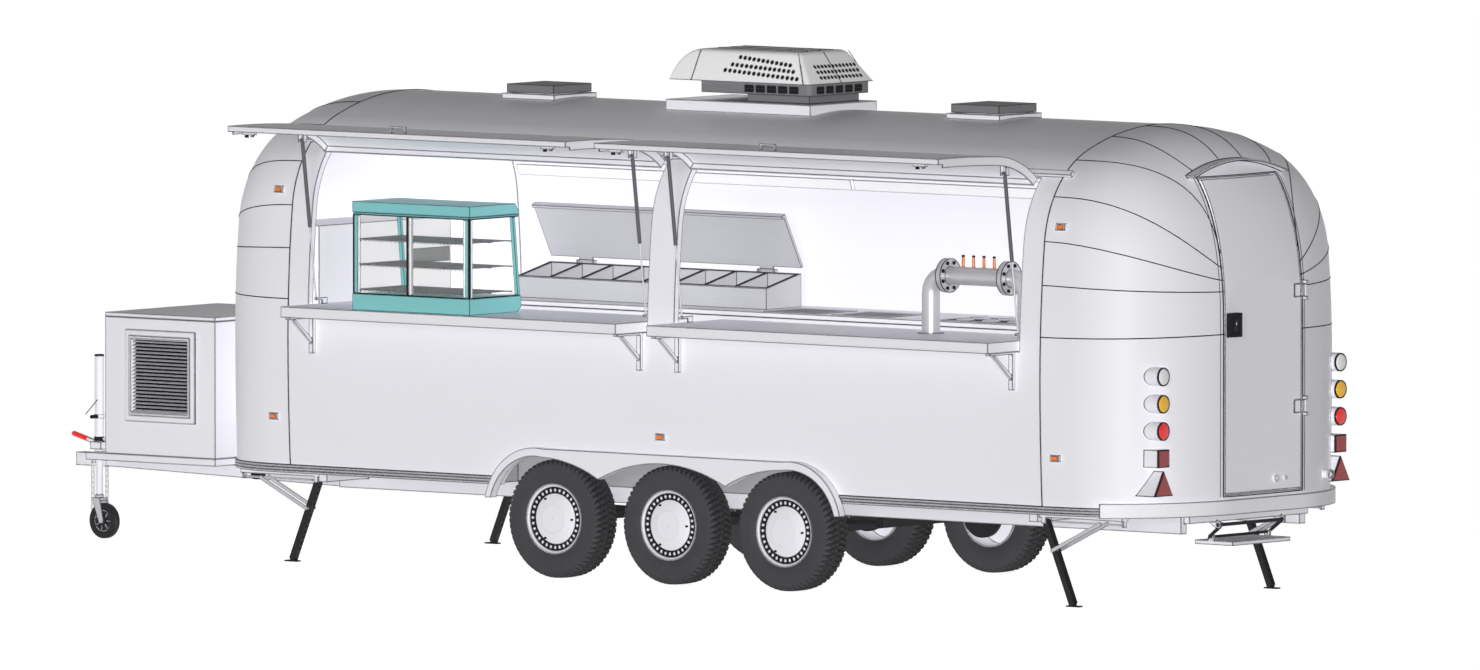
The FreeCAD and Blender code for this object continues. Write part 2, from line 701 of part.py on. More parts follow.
def make_chassis():
    """Main rails, cross members, A-shaped drawbar, shelf and steady bases."""
    rail_tall = "skirt_z - rail_foot_z"
    pieces = []
    for side, y in (("left", "-rail_y - rail_wide / 2"), ("right", "rail_y - rail_wide / 2")):
        pieces.append(
            box(f"Rail_{side}", "rail_rear - rail_front", "rail_wide", rail_tall,
                "rail_front", y, "rail_foot_z")
        )
        sign = "-1" if side == "left" else "1"
        near, far = f"{sign} * apex_y", f"{sign} * rail_y"
        turn = f"{sign} * arm_wide / 2"
        pieces.append(
            outline(
                f"Arm_{side}", "XY",
                [("apex_x", f"{near} - {turn}"), ("rail_front + 200", f"{far} - {turn}"),
                 ("rail_front + 200", f"{far} + {turn}"), ("apex_x", f"{near} + {turn}")],
                "arm_tall", "rail_foot_z",
            )
        )
    cross_at = ["-steady_x + 30", "-1500", "-400", "400", "1500",
                "steady_x - 30 - cross_wide"]
    for i, x in enumerate(cross_at):
        half = "steady_y + 40" if i in (0, 5) else "rail_y"
        pieces.append(
            box(f"Cross_{i}", "cross_wide", f"2 * ({half})", "cross_tall", x,
                f"-({half})", "skirt_z - cross_tall")
        )
    pieces.append(
        box("Cross_step", "cross_wide", "2 * rail_y", "cross_tall",
            "step_pin_x - cross_wide / 2 - 40", "-rail_y", "skirt_z - cross_tall")
    )
    pieces.append(
        box("Shelf", "gen_rear - shelf_front", "2 * gen_half", "shelf_thick",
            "shelf_front", "-gen_half", "rail_foot_z + arm_tall")
    )
    pieces += steady_bases()
    pieces += step_ears()
    node(fuse("Chassis", pieces), "chassis")


def steady_bases():
    """A short rail over each steady, with the ears, pin and spindle below it."""
    made = []
    for end, sign in (("front", "-1"), ("rear", "1")):
        for side, y in (("near", "-steady_y"), ("far", "steady_y")):
            name = f"Steady_{end}_{side}"
            x = f"{sign} * steady_x"
            back, reach = "30", "steady_base_long - 30"
            start = f"{x} - {back}" if sign == "1" else f"{x} - ({reach})"
            spindle = f"{x} + 44" if sign == "1" else f"{x} - ({reach}) + 6"
            stop = f"{x} + {reach} - 12" if sign == "1" else f"{x} - ({reach})"
            made.append(
                box(name + "_base", "steady_base_long", "56", "steady_base_tall", start,
                    f"{y} - 28", "skirt_z - steady_base_tall")
            )
            for k, offset in enumerate(("-28", "22")):
                made.append(
                    box(f"{name}_ear_{k}", "30", "6", "skirt_z - steady_pin_z + 10",
                        f"{x} - 15", f"{y} + {offset}", "steady_pin_z - 12")
                )
            made.append(
                rod(name + "_pin", "6", "52", x, f"{y} - 26", "steady_pin_z", "Y")
            )
            made.append(
                rod(name + "_spindle", "spindle_radius", "steady_base_long - 80", spindle, y,
                    "steady_pin_z", "X")
            )
            made.append(
                box(name + "_stop", "12", "30", "skirt_z - steady_pin_z + 12", stop,
                    f"{y} - 15", "steady_pin_z - 12")
            )
    return made


def step_ears():
    """Two ears below the last cross member that carry the step's shaft."""
    made = []
    for k, y in enumerate(("-step_ear_y - step_ear_thick", "step_ear_y")):
        plate = outline(
            f"Step_ear_{k}", "XZ",
            [("step_pin_x - 70", "skirt_z - cross_tall"), ("step_pin_x - 18", "step_pin_z - 18"),
             ("step_pin_x + 18", "step_pin_z - 18"), ("step_pin_x + 18", "step_pin_z + 18"),
             ("step_pin_x - 10", "skirt_z - cross_tall + 10"),
             ("step_pin_x - 70", "skirt_z - cross_tall + 10")],
            "step_ear_thick", y,
        )
        hole = rod(f"Step_bore_{k}", "step_shaft + pin_gap", "step_ear_thick + 4",
                   "step_pin_x", f"{y} - 2", "step_pin_z", "Y")
        made.append(cut(f"Step_ear_bored_{k}", plate, hole))
    return made


def make_axles():
    """Three beam axles with stub shafts, brake plates and leaf springs."""
    pieces = []
    for i in range(3):
        x = f"axle_mid_x + {i - 1} * axle_pitch"
        pieces.append(
            box(f"Beam_{i}", "axle_square", "2 * axle_half", "axle_square",
                f"{x} - axle_square / 2", "-axle_half", "axle_z - axle_square / 2")
        )
        pieces.append(rod(f"Stub_{i}", "stub_radius", "2 * stub_end", x, "-stub_end",
                          "axle_z", "Y"))
        for k, y in enumerate(("-drum_out", "drum_in")):
            pieces.append(rod(f"Drum_{i}_{k}", "drum_radius", "drum_out - drum_in", x, y,
                              "axle_z", "Y"))
        for k, y in enumerate(("-spring_y - spring_wide / 2", "spring_y - spring_wide / 2")):
            top = "axle_z + axle_square / 2"
            seat = f"{x} - 60"
            low, high = top, f"{top} + spring_thick"
            eye, lift = "spring_half", "14"
            pieces.append(
                outline(
                    f"Spring_{i}_{k}", "XZ",
                    [(f"{x} - {eye}", f"{low} + {lift}"), (seat, low), (f"{x} + 60", low),
                     (f"{x} + {eye}", f"{low} + {lift}"), (f"{x} + {eye}", f"{high} + {lift} - 16"),
                     (f"{x} + 60", high), (seat, high), (f"{x} - {eye}", f"{high} + {lift} - 16")],
                    "spring_wide", y,
                )
            )
            for side, at in (("a", f"{x} - {eye} - 12"), ("b", f"{x} + {eye} - hanger_wide + 12")):
                pieces.append(
                    box(f"Hanger_{i}_{k}_{side}", "hanger_wide", "spring_wide + 8",
                        f"rail_foot_z - ({low} - 6)", at, f"{y} - 4", f"{low} - 6")
                )
    node(fuse("Axles", pieces), "axles")


def tyre_shape():
    """A tyre about the Y axis, its outer face at zero and its inner face at +wide."""
    radius, wide, bead = size("tyre_radius"), size("tyre_wide"), size("bead_radius")
    seat, lip = bead + size("skin_gap"), size("rim_lip_radius") + 3
    spots = [
        (seat, 25), (lip, 17), (radius - 62, 0), (radius - 14, 12), (radius, 34),
        (radius, wide - 34), (radius - 14, wide - 12), (radius - 62, wide), (seat, wide - 14),
    ]
    spots = [Vector(r, y, 0) for r, y in spots]
    face = Part.Face(Part.makePolygon(spots + spots[:1]))
    return face.revolve(Vector(), Vector(0, 1, 0), 360)


def wheel_shape():
    """Rim, disc, hub and domed cap of a wheel about the Y axis, outer face at zero."""
    wide, bead = size("tyre_wide"), size("bead_radius")
    inner = bead - size("rim_thick")
    depth, thick = size("disc_depth"), size("disc_thick")
    hub, out = size("hub_radius"), size("wheel_face_y") - size("hub_out")
    lip, dome, rise = size("rim_lip_radius"), size("dome_radius"), size("dome_rise")
    bore = size("stub_radius") + size("pin_gap")
    hub_end = 120
    cover = out - 8
    spots = [
        (0, cover - rise + 14), (dome - 60, cover - rise + 17), (dome - 20, cover - rise + 30),
        (dome, depth), (inner, depth), (inner, 22), (lip - 6, 10), (lip, 10), (lip, 14),
        (bead, 22), (bead, wide - 14), (inner, wide - 14), (inner, depth + thick),
        (hub, depth + thick), (hub, hub_end), (bore, hub_end), (bore, out + 12), (0, out + 12),
    ]
    spots = [Vector(r, y, 0) for r, y in spots]
    face = Part.Face(Part.makePolygon(spots + spots[:1]))
    return face.revolve(Vector(), Vector(0, 1, 0), 360)


def make_wheels():
    """Six road wheels and their tyres."""
    half_turn = Rotation(Vector(0, 0, 1), 180)
    for i, spot in enumerate(("front", "middle", "rear")):
        x = f"axle_mid_x + {i - 1} * axle_pitch"
        for side, y, turn in (("near", "-wheel_face_y", Rotation()), ("far", "wheel_face_y", half_turn)):
            name = f"{spot}_{side}"
            node(feature("Tyre_" + name, tyre_shape()), "tyre_" + name, x, y, "axle_z", turn)
            node(feature("Wheel_" + name, wheel_shape()), "wheel_" + name, x, y, "axle_z", turn)


# Outside fittings


def make_skirt_trim():
    """Ribbed band round the foot of the body and the raised bands over the wheels."""
    low, high, gap = size("skirt_z"), size("trim_top_z"), size("skin_gap")
    inside = whole_volume(-gap)
    band = whole_volume(-size("trim_base")).common(slab(low, high))
    proud = whole_volume(-size("trim_rib"))
    ribs = []
    for i in range(3):
        foot = low + 2 + i * size("trim_rib_step")
        ribs.append(proud.common(slab(foot, foot + size("trim_rib_tall"))))
    arch = arch_cutter(size("arch_top_z") - size("arch_peak_z") - 12)
    bumper_side = Part.makeBox(900, 3000, 500, Vector(size("bumper_start_x") - 1, -1500, 300))
    ring = band.fuse(ribs).cut([inside, arch, bumper_side])
    arches = [one.cut(inside) for one in both_sides(arch_band_shape())]
    node(feature("SkirtTrim", ring.fuse(arches)), "skirt_trim")


def make_bumper():
    """Wrap-round ledge behind the rear end."""
    end, half, radius = size("bumper_end_x"), size("bumper_half"), size("bumper_radius")
    start, low = size("bumper_start_x"), size("bumper_foot_z")
    flat = half - radius
    middle_x = end - radius
    edge_y = flat + math.sqrt(radius**2 - (start - middle_x) ** 2)
    turn = math.acos((start - middle_x) / radius) / 2
    bend = (middle_x + radius * math.cos(turn), flat + radius * math.sin(turn))
    near = Part.Arc(
        Vector(start, -edge_y, low), Vector(bend[0], -bend[1], low), Vector(end, -flat, low)
    )
    far = Part.Arc(
        Vector(end, flat, low), Vector(bend[0], bend[1], low), Vector(start, edge_y, low)
    )
    edges = [
        near.toShape(),
        Part.LineSegment(Vector(end, -flat, low), Vector(end, flat, low)).toShape(),
        far.toShape(),
        Part.LineSegment(Vector(start, edge_y, low), Vector(start, -edge_y, low)).toShape(),
    ]
    ledge = Part.Face(Part.Wire(edges)).extrude(Vector(0, 0, size("bumper_top_z") - low))
    body = Volumes.cap(-size("skin_gap"))
    below = body.copy()
    below.translate(Vector(0, 0, -60))
    node(feature("Bumper", ledge.cut([body, below])), "bumper")


def rear_lamps():
    """Three round lamps, a square one and a triangular reflector on each side."""
    face, y, step = size("lamp_face_x"), size("lamp_y"), size("lamp_step")
    high, side = size("lamp_high_z"), size("reflector_side")
    deep = 150
    lamps = [
        Part.makeCylinder(
            size("lamp_radius"), deep, Vector(face - deep, -y, high - i * step), Vector(1, 0, 0)
        )
        for i in range(3)
    ]
    square = size("lamp_square")
    lamps.append(
        Part.makeBox(deep, square, square,
                     Vector(face - deep, -y - square / 2, high - 3 * step - square / 2))
    )
    foot = high - 4 * step - side * 0.36
    spots = [
        Vector(face - deep, -y - side / 2, foot), Vector(face - deep, -y + side / 2, foot),
        Vector(face - deep, -y, foot + side * 0.866),
    ]
    lamps.append(
        Part.Face(Part.makePolygon(spots + spots[:1])).extrude(Vector(deep, 0, 0))
    )
    body = Volumes.cap(-size("skin_gap"))
    cut_lamps = [one.cut(body) for one in lamps]
    return [one for lamp in cut_lamps for one in both_sides(lamp)]


def side_markers():
    """Small amber marker lamps along both sides."""
    long, tall = size("marker_long"), size("marker_tall")
    ends = size("marker_x")
    spots = [(x, z) for x in (-ends, ends) for z in (size("marker_high_z"), size("marker_low_z"))]
    spots.append((0, size("marker_low_z")))
    inside = whole_volume(-size("skin_gap"))
    proud = whole_volume(-size("marker_proud"))
    shapes = []
    for x, z in spots:
        block = Part.makeBox(long, 700, tall, Vector(x - long / 2, -1200, z - tall / 2))
        shapes += both_sides(proud.common(block).cut(inside))
    return shapes


def make_lamps():
    """All outside lamps, each a separate solid on the body."""
    node(feature("Lamps", Part.makeCompound(rear_lamps() + side_markers())), "lamps")


def make_roof_cooler():
    """Roof cooling unit: base plate and riser, and the tapered cover."""
    plate = feature(
        "Cooler_plate",
        Part.makeBox(
            size("cooler_long"), size("cooler_wide"), size("cooler_plate_z") - 2540,
            Vector(size("cooler_x") - size("cooler_long") / 2, -size("cooler_wide") / 2, 2540),
        ).cut(centre_volume(-size("skin_gap"))),
    )
    riser = box("Cooler_riser", "riser_rear - riser_front", "riser_wide",
                "tray_foot_z - cooler_plate_z", "riser_front", "-riser_wide / 2",
                "cooler_plate_z")
    tray = box("Cooler_tray", "tray_rear - tray_front", "tray_wide", "tray_top_z - tray_foot_z",
               "tray_front", "-tray_wide / 2", "tray_foot_z")
    slots = []
    for i in range(int(size("tray_slots"))):
        for k, y in enumerate(("-tray_wide / 2 - 1", "tray_wide / 2 - tray_slot_deep")):
            slots.append(
                box(f"Tray_slot_{i}_{k}", "tray_slot", "tray_slot_deep + 1", "tray_slot_tall",
                    f"tray_slot_x + {i} * tray_slot_step", y, "tray_foot_z + 13")
            )
    slotted = cut("Tray_slotted", tray, slots)
    node(fuse("CoolerBase", [plate, riser, slotted]), "cooler_base")
    wedge = doc.addObject("Part::Wedge", "Cooler_wedge")
    bind(
        wedge, Xmin="-cover_long / 2", Xmax="cover_long / 2", X2min="cover_top_front",
        X2max="cover_top_rear", Zmin="-cover_wide / 2", Zmax="cover_wide / 2",
        Z2min="-cover_top_wide / 2", Z2max="cover_top_wide / 2", Ymin="0",
        Ymax="cover_top_z - tray_top_z",
    )
    doc.recompute()
    rounded = doc.addObject("Part::Fillet", "CoolerCover")
    rounded.Base = wedge
    rounds = []
    for i, edge in enumerate(wedge.Shape.Edges):
        ends = [vertex.Point for vertex in edge.Vertexes]
        if max(end.y for end in ends) < 1:
            continue
        brow = min(end.y for end in ends) > 1 and max(end.x for end in ends) < 0
        radius = size("cover_front_round" if brow else "cover_round")
        rounds.append((i + 1, radius, radius))
    rounded.Edges = rounds
    node(rounded, "cooler_cover", "cooler_x", "0", "tray_top_z", Rotation(Vector(1, 0, 0), 90))


def make_vents():
    """Two roof vents: a frame round each hole and a lid hinged at its front edge."""
    frame, hole, top = size("vent_frame"), size("vent_hole"), size("vent_frame_z")
    body = centre_volume(-size("skin_gap"))
    frames = []
    for x in (size("vent_front_x"), size("vent_rear_x")):
        ring = Part.makeBox(frame, frame, top - 2540, Vector(x - frame / 2, -frame / 2, 2540))
        inner = Part.makeBox(hole, hole, 400, Vector(x - hole / 2, -hole / 2, 2400))
        pin = x - size("vent_lid") / 2
        ears = [
            Part.makeBox(12, 10, 22, Vector(pin - 20, y, top - 4)) for y in (-60, 50)
        ]
        bars = [Part.makeCylinder(size("vent_pin_radius"), 122, Vector(pin - 14, -61, top + 10),
                                  Vector(0, 1, 0))]
        frames.append(ring.cut([inner, body]).fuse(ears + bars))
    node(feature("VentFrames", Part.makeCompound(frames)), "vent_frames")
    for spot in ("front", "rear"):
        lid, tall, skin = "vent_lid", "vent_lid_tall", "vent_lid_wall"
        shell = cut(
            f"Vent_shell_{spot}",
            box(f"Vent_block_{spot}", lid, lid, tall, "14", f"-{lid} / 2", "-6"),
            box(f"Vent_hollow_{spot}", f"{lid} - 2 * {skin}", f"{lid} - 2 * {skin}", tall,
                f"14 + {skin}", f"-{lid} / 2 + {skin}", f"-6 - {skin}"),
        )
        tube = rod(f"Vent_tube_{spot}", "vent_pin_radius + 4", "92", "0", "-46", "0", "Y")
        leaf = box(f"Vent_leaf_{spot}", "20", "92", "4", "0", "-46", "4")
        bore = rod(f"Vent_bore_{spot}", "vent_pin_radius + pin_gap", "94", "0", "-47", "0", "Y")
        lid_piece = cut(f"VentLid_{spot}", fuse(f"Vent_joined_{spot}", [shell, tube, leaf]), bore)
        node(lid_piece, f"vent_lid_{spot}", f"vent_{spot}_x - vent_lid / 2 - 14", "0",
             "vent_frame_z + 10")


def make_generator():
    """Generator box on the drawbar with its louvre, a lid and the set inside."""
    floor_z = "rail_foot_z + arm_tall + shelf_thick"
    tall = f"gen_top_z - gen_lid_thick - ({floor_z})"
    outer = box("Gen_outer", "gen_rear - gen_front", "2 * gen_half", tall, "gen_front",
                "-gen_half", floor_z)
    inner = box("Gen_inner", "gen_rear - gen_front - 2 * gen_wall", "2 * gen_half - 2 * gen_wall",
                "900", "gen_front + gen_wall", "-gen_half + gen_wall", f"{floor_z} + gen_wall")
    window = box("Gen_window", "louvre_wide", "gen_wall + 40", "louvre_tall",
                 "gen_front + louvre_inset", "-gen_half - 20", "louvre_top_z - louvre_tall")
    surround = box("Gen_surround", "louvre_wide + 2 * louvre_frame", "louvre_proud",
                   "louvre_tall + 2 * louvre_frame", "gen_front + louvre_inset - louvre_frame",
                   "-gen_half - louvre_proud", "louvre_top_z - louvre_tall - louvre_frame")
    shell = cut("Gen_shell", fuse("Gen_walls", [outer, surround]), [inner, window])
    slats = []
    for i in range(int(size("louvre_slats"))):
        slat = box(f"Gen_slat_{i}", "louvre_wide + 8", "slat_deep", "slat_thick",
                   "gen_front + louvre_inset - 4", "-gen_half + 2",
                   f"louvre_top_z - (louvre_tall / louvre_slats) * {i + 1} + 6")
        slats.append(slat)
    pins = gen_lid_pins()
    node(fuse("GeneratorBox", [shell] + slats + pins), "generator_box")
    block = doc.addObject("Part::Chamfer", "GeneratorBlock")
    block.Base = box("Gen_block", "block_long", "block_wide", "block_tall",
                     "-block_long / 2", "-block_wide / 2", "0")
    doc.recompute()
    block.Edges = [(i + 1, 12, 12) for i in range(12)]
    node(block, "generator_block", "(gen_front + gen_rear) / 2", "0", f"{floor_z} + gen_wall")
    make_gen_lid()


def gen_lid_pins():
    """Hinge pins of the generator lid, on ears along the far edge."""
    made = []
    for i, x in enumerate(("gen_front + 120", "gen_rear - 200")):
        pin_z, pin_y = "gen_top_z - gen_lid_thick", "gen_half + 10"
        for k, offset in enumerate(("-12", "81")):
            made.append(
                box(f"Gen_ear_{i}_{k}", "10", "22", "26", f"{x} + {offset}",
                    "gen_half", f"{pin_z} - 16")
            )
        made.append(rod(f"Gen_pin_{i}", "5", "103", f"{x} - 12", pin_y, pin_z, "X"))
    return made


def make_gen_lid():
    """Lid of the generator box, hinged on the far side."""
    board = box("Gen_board", "gen_rear - gen_front", "2 * gen_half - 6", "gen_lid_thick - 1",
                "gen_front", "-2 * gen_half - 10", "1")
    pieces, bores = [board], []
    for i, x in enumerate(("gen_front + 120", "gen_rear - 200")):
        pieces.append(rod(f"Gen_knuckle_{i}", "9", "79", x, "0", "0", "X"))
        pieces.append(box(f"Gen_leaf_{i}", "79", "22", "5", x, "-20", "4"))
        bores.append(rod(f"Gen_bore_{i}", "5 + pin_gap", "81", f"{x} - 1", "0", "0", "X"))
    lid = cut("GeneratorLid", fuse("Gen_lid_joined", pieces), bores)
    node(lid, "generator_lid", "0", "gen_half + 10", "gen_top_z - gen_lid_thick")


# Hatches, struts and counters


def hatch_panel(start, end):
    """A hatch in its closed place: a skin of the side wall with a rim behind its edges."""
    reach, rim, foot = 1500, size("hatch_rim_thick"), size("hatch_foot_z")
    skin = centre_volume(0).cut(centre_volume(size("hatch_skin")))
    deep = centre_volume(0).cut(centre_volume(size("hatch_rim")))
    shallow = centre_volume(0).cut(centre_volume(size("hatch_foot_rim")))
    keep = from_hinge(0, 0, start, end - start,
                      [(reach, -4), (-reach, -4), (-reach, -2000), (reach, -2000)])
    inside = from_hinge(0, 0, start + rim, end - start - 2 * rim,
                        [(reach, -4 - rim), (-reach, -4 - rim), (-reach, -2000), (reach, -2000)])
    above = Part.makeBox(9000, 800, 4000, Vector(-4500, -1400, foot + rim + 30))
    side = Part.makeBox(9000, 800, 4000, Vector(-4500, -1400, foot))
    low = Part.makeBox(9000, 800, rim, Vector(-4500, -1400, foot))
    edge = deep.common(keep).cut(inside).common(above)
    lower_edge = shallow.common(keep).cut(inside).common(side)
    foot_edge = shallow.common(keep).common(low)
    return skin.common(keep).common(side).fuse([edge, lower_edge, foot_edge])


def hatch_handle(start, end):
    """A U-shaped pull on the outside near the lower edge."""
    middle, wide, bar = (start + end) / 2, size("handle_wide"), size("handle_bar")
    proud, face, z = size("handle_proud"), -size("half_width"), size("hatch_foot_z") + 18
    posts = [
        Part.makeBox(bar, proud + 6, bar, Vector(x, face - proud, z))
        for x in (middle - wide / 2, middle + wide / 2 - bar)
    ]
    return posts + [Part.makeBox(wide, bar, bar, Vector(middle - wide / 2, face - proud, z))]


def strut_ears(start, end):
    """Ears behind the skin that hold each strut's upper pin."""
    y, z = size("strut_head_y"), size("strut_head_z")
    gap, thick = size("strut_ear_gap"), size("strut_ear_thick")
    clear = centre_volume(size("hatch_skin") - 2)
    made = []
    for x in strut_places(start, end):
        for at in (x - gap - thick, x + gap):
            ear = Part.makeBox(thick, 110, 28, Vector(at, y - 96, z - 14))
            made.append(ear.common(clear))
        made.append(along_x(size("strut_pin_radius"), x - gap - 2, 2 * gap + 4, y, z))
    return made


def strut_places(start, end):
    """X of the two struts of a hatch."""
    return [start + size("strut_inset"), end - size("strut_inset")]


def hatch_spans():
    """Start and end of the front and the rear hatch."""
    near = size("opening_near") + size("swing_gap")
    far = size("opening_far") - size("swing_gap")
    return {"front": (-far, -near), "rear": (near, far)}


def opened(shape):
    """Turn a closed hatch's shape to its open rest about the hinge."""
    axis = hinge_frame()[0]
    turned = shape.copy()
    turned.rotate(axis, Vector(1, 0, 0), -size("hatch_open"))
    return turned


def make_hatches():
    """The two lift-up hatches, shown open."""
    for spot, (start, end) in hatch_spans().items():
        pieces = hinge_moving(start, end) + hatch_handle(start, end) + strut_ears(start, end)
        closed = hatch_panel(start, end).fuse(pieces)
        node(feature(f"Hatch_{spot}", opened(closed)), f"hatch_{spot}")


def strut_ends():
    """Head and foot of a strut at the open rest."""
    axis = hinge_frame()[0]
    base = Vector(0, axis.y, axis.z)
    turn = Rotation(Vector(1, 0, 0), -size("hatch_open"))
    arm = Vector(0, size("strut_head_y"), size("strut_head_z")) - base
    return base + turn.multVec(arm), Vector(0, size("strut_foot_y"), size("strut_foot_z"))


def strut_tube(top, run):
    """A gas strut's tube with the eye at its head."""
    tube, radius, wide = size("strut_tube"), size("strut_radius"), size("strut_eye_wide")
    bore = size("strut_rod_radius") + size("pin_gap")
    side = Vector(1, 0, 0)
    eye = Part.makeCylinder(size("strut_eye"), wide, top - side * (wide / 2), side)
    neck = Part.makeCylinder(6, 16, top + run * 4, run)
    body = Part.makeCylinder(radius, tube - 16, top + run * 16, run)
    hollow = Part.makeCylinder(radius - size("strut_wall"), tube - 60, top + run * 40, run)
    mouth = Part.makeCylinder(bore, 60, top + run * (tube - 30), run)
    hole = Part.makeCylinder(
        size("strut_pin_radius") + size("pin_gap"), wide + 2, top - side * (wide / 2 + 1), side
    )
    return body.fuse([eye, neck]).cut([hollow, mouth, hole])


def strut_rod(top, run, foot):
    """A gas strut's rod with the eye at its foot."""
    wide = size("strut_eye_wide")
    start, side = size("strut_tube") - 40, Vector(1, 0, 0)
    length = (foot - top).Length
    stem = Part.makeCylinder(size("strut_rod_radius"), length - start, top + run * start, run)
    eye = Part.makeCylinder(size("strut_eye"), wide, foot - side * (wide / 2), side)
    return stem.fuse(eye)


def make_struts():
    """Two gas struts a hatch: tubes on the hatch, rods that slide in them."""
    head, foot = strut_ends()
    run = (foot - head).normalize()
    for spot, (start, end) in hatch_spans().items():
        shifts = [Vector(x, 0, 0) for x in strut_places(start, end)]
        tubes = [strut_tube(head + shift, run) for shift in shifts]
        rods = [strut_rod(head + shift, run, foot + shift) for shift in shifts]
        node(feature(f"StrutTubes_{spot}", Part.makeCompound(tubes)), f"strut_tubes_{spot}")
        node(feature(f"StrutRods_{spot}", Part.makeCompound(rods)), f"strut_rods_{spot}")


def strut_clips(spot):
    """Plates on a counter that stand beside the eyes of the struts' rods."""
    start, end = hatch_spans()[spot]
    y, z, top = size("strut_foot_y"), size("strut_foot_z"), size("sill_z") + size("counter_thick")
    gap, half = 0.5, size("strut_eye_wide") / 2
    made = []
    for i, x in enumerate(strut_places(start, end)):
        at = x + half + gap if i == 0 else x - half - gap - size("strut_plate")
        spots = [
            (y + 80, top - 1), (y + 35, top - 1), (y + 35, z - 6), (y - 10, z - 6),
            (y - 10, z + 8), (y + 80, z + 8),
        ]
        wire = Part.makePolygon([Vector(at, a, b) for a, b in spots + spots[:1]])
        plate = Part.Face(wire).extrude(Vector(size("strut_plate"), 0, 0))
        made.append(feature(f"Strut_clip_{spot}_{i}", plate))
    return made


def make_counters():
    """Serving counters through the openings, each on two brackets."""
    for spot, sign in (("front", "-1"), ("rear", "1")):
        start = "-counter_far" if sign == "-1" else "counter_near"
        board = box(f"Board_{spot}", "counter_far - counter_near",
                    "counter_in_y - counter_out_y", "counter_thick", start,
                    "counter_out_y", "sill_z")
        pieces = [board]
        face = "-half_width - 1"
        for k, x in enumerate((f"{start} + bracket_inset",
                               f"{start} + counter_far - counter_near - bracket_inset - bracket_wide")):
            name = f"Bracket_{spot}_{k}"
            pieces.append(
                box(name + "_post", "bracket_wide", "bracket_bar", "bracket_drop",
                    x, f"{face} - bracket_bar", "sill_z - bracket_drop")
            )
            pieces.append(
                box(name + "_arm", "bracket_wide", "-half_width - counter_out_y - 30", "14",
                    x, "counter_out_y + 30", "sill_z - 14")
            )
            pieces.append(
                outline(
                    name + "_brace", "YZ",
                    [("counter_out_y + 60", "sill_z - 10"), ("counter_out_y + 84", "sill_z - 10"),
                     (f"{face} - 8", "sill_z - bracket_drop + 70"),
                     (f"{face} - 8", "sill_z - bracket_drop + 42")],
                    "bracket_wide - 12", f"{x} + 6",
                )
            )
        pieces += strut_clips(spot)
        node(fuse(f"Counter_{spot}", pieces), f"counter_{spot}")


# Stands, jockey wheel, coupling and step


def make_steadies():
    """Four drop legs and their braces, each built about its own hinge pin."""
    for end, turn_sign in (("front", 1), ("rear", -1)):
        for side, y in (("near", "-steady_y"), ("far", "steady_y")):
            name = f"{end}_{side}"
            x = "-steady_x" if end == "front" else "steady_x"
            lean = Rotation(Vector(0, 1, 0), turn_sign * size("steady_lean"))
            node(steady_leg(name, turn_sign), f"steady_leg_{name}", x, y, "steady_pin_z", lean)
            brace = feature(f"Brace_{name}", steady_brace(turn_sign))
            node(brace, f"steady_brace_{name}", x, y, "steady_pin_z", lean)


def steady_length():
    """Distance along a leg from its pin to the ground."""
    return size("steady_pin_z") / math.cos(math.radians(size("steady_lean")))


def steady_leg(name, turn_sign):
    """A perforated channel leg hanging from its pin, with a level foot."""
    wide, wall = size("steady_wide"), size("steady_wall")
    long = steady_length() - 16
    half, head = wide / 2, size("steady_head")
    bar = Part.makeBox(wide, wide, long - 12, Vector(-half, -half, -long))
    crown = Part.makeBox(2 * head, wide, 20, Vector(-head, -half, -20))
    round_top = Part.makeCylinder(head, wide, Vector(0, -half, 0), Vector(0, 1, 0))
    open_x = -half + wall if turn_sign == -1 else -half - wall
    hollow = Part.makeBox(wide, wide - 2 * wall, long - 30,
                          Vector(open_x, -half + wall, -long + 6))
    holes = []
    step, hole = size("steady_hole_step"), size("steady_hole")
    count = int((long - 60) / step)
    for i in range(count):
        spot = -36 - i * step
        if abs(spot + size("steady_brace_at")) > 20:
            holes.append(Part.makeCylinder(hole, wide + 2, Vector(-half - 1, 0, spot),
                                           Vector(1, 0, 0)))
    pin = Part.makeCylinder(6 + size("pin_gap"), wide + 2, Vector(0, -half - 1, 0),
                            Vector(0, 1, 0))
    brace = Part.makeCylinder(6 + size("pin_gap"), wide + 2,
                              Vector(0, -half - 1, -size("steady_brace_at")), Vector(0, 1, 0))
    leg = bar.fuse([crown, round_top]).cut([hollow, pin, brace] + holes)
    foot_long, thick = size("foot_long"), size("foot_thick")
    plate = Part.makeBox(foot_long, wide, thick,
                         Vector(-foot_long / 2, -half, -size("steady_pin_z")))
    lean = math.radians(size("steady_lean"))
    plate.translate(Vector(-turn_sign * size("steady_pin_z") * math.tan(lean), 0, 0))
    plate.rotate(Vector(), Vector(0, 1, 0), -turn_sign * size("steady_lean"))
    ankle = Part.makeCylinder(12, wide, Vector(0, -half, -steady_length() + 18), Vector(0, 1, 0))
    return feature(f"Leg_{name}", leg.fuse([plate, ankle]))


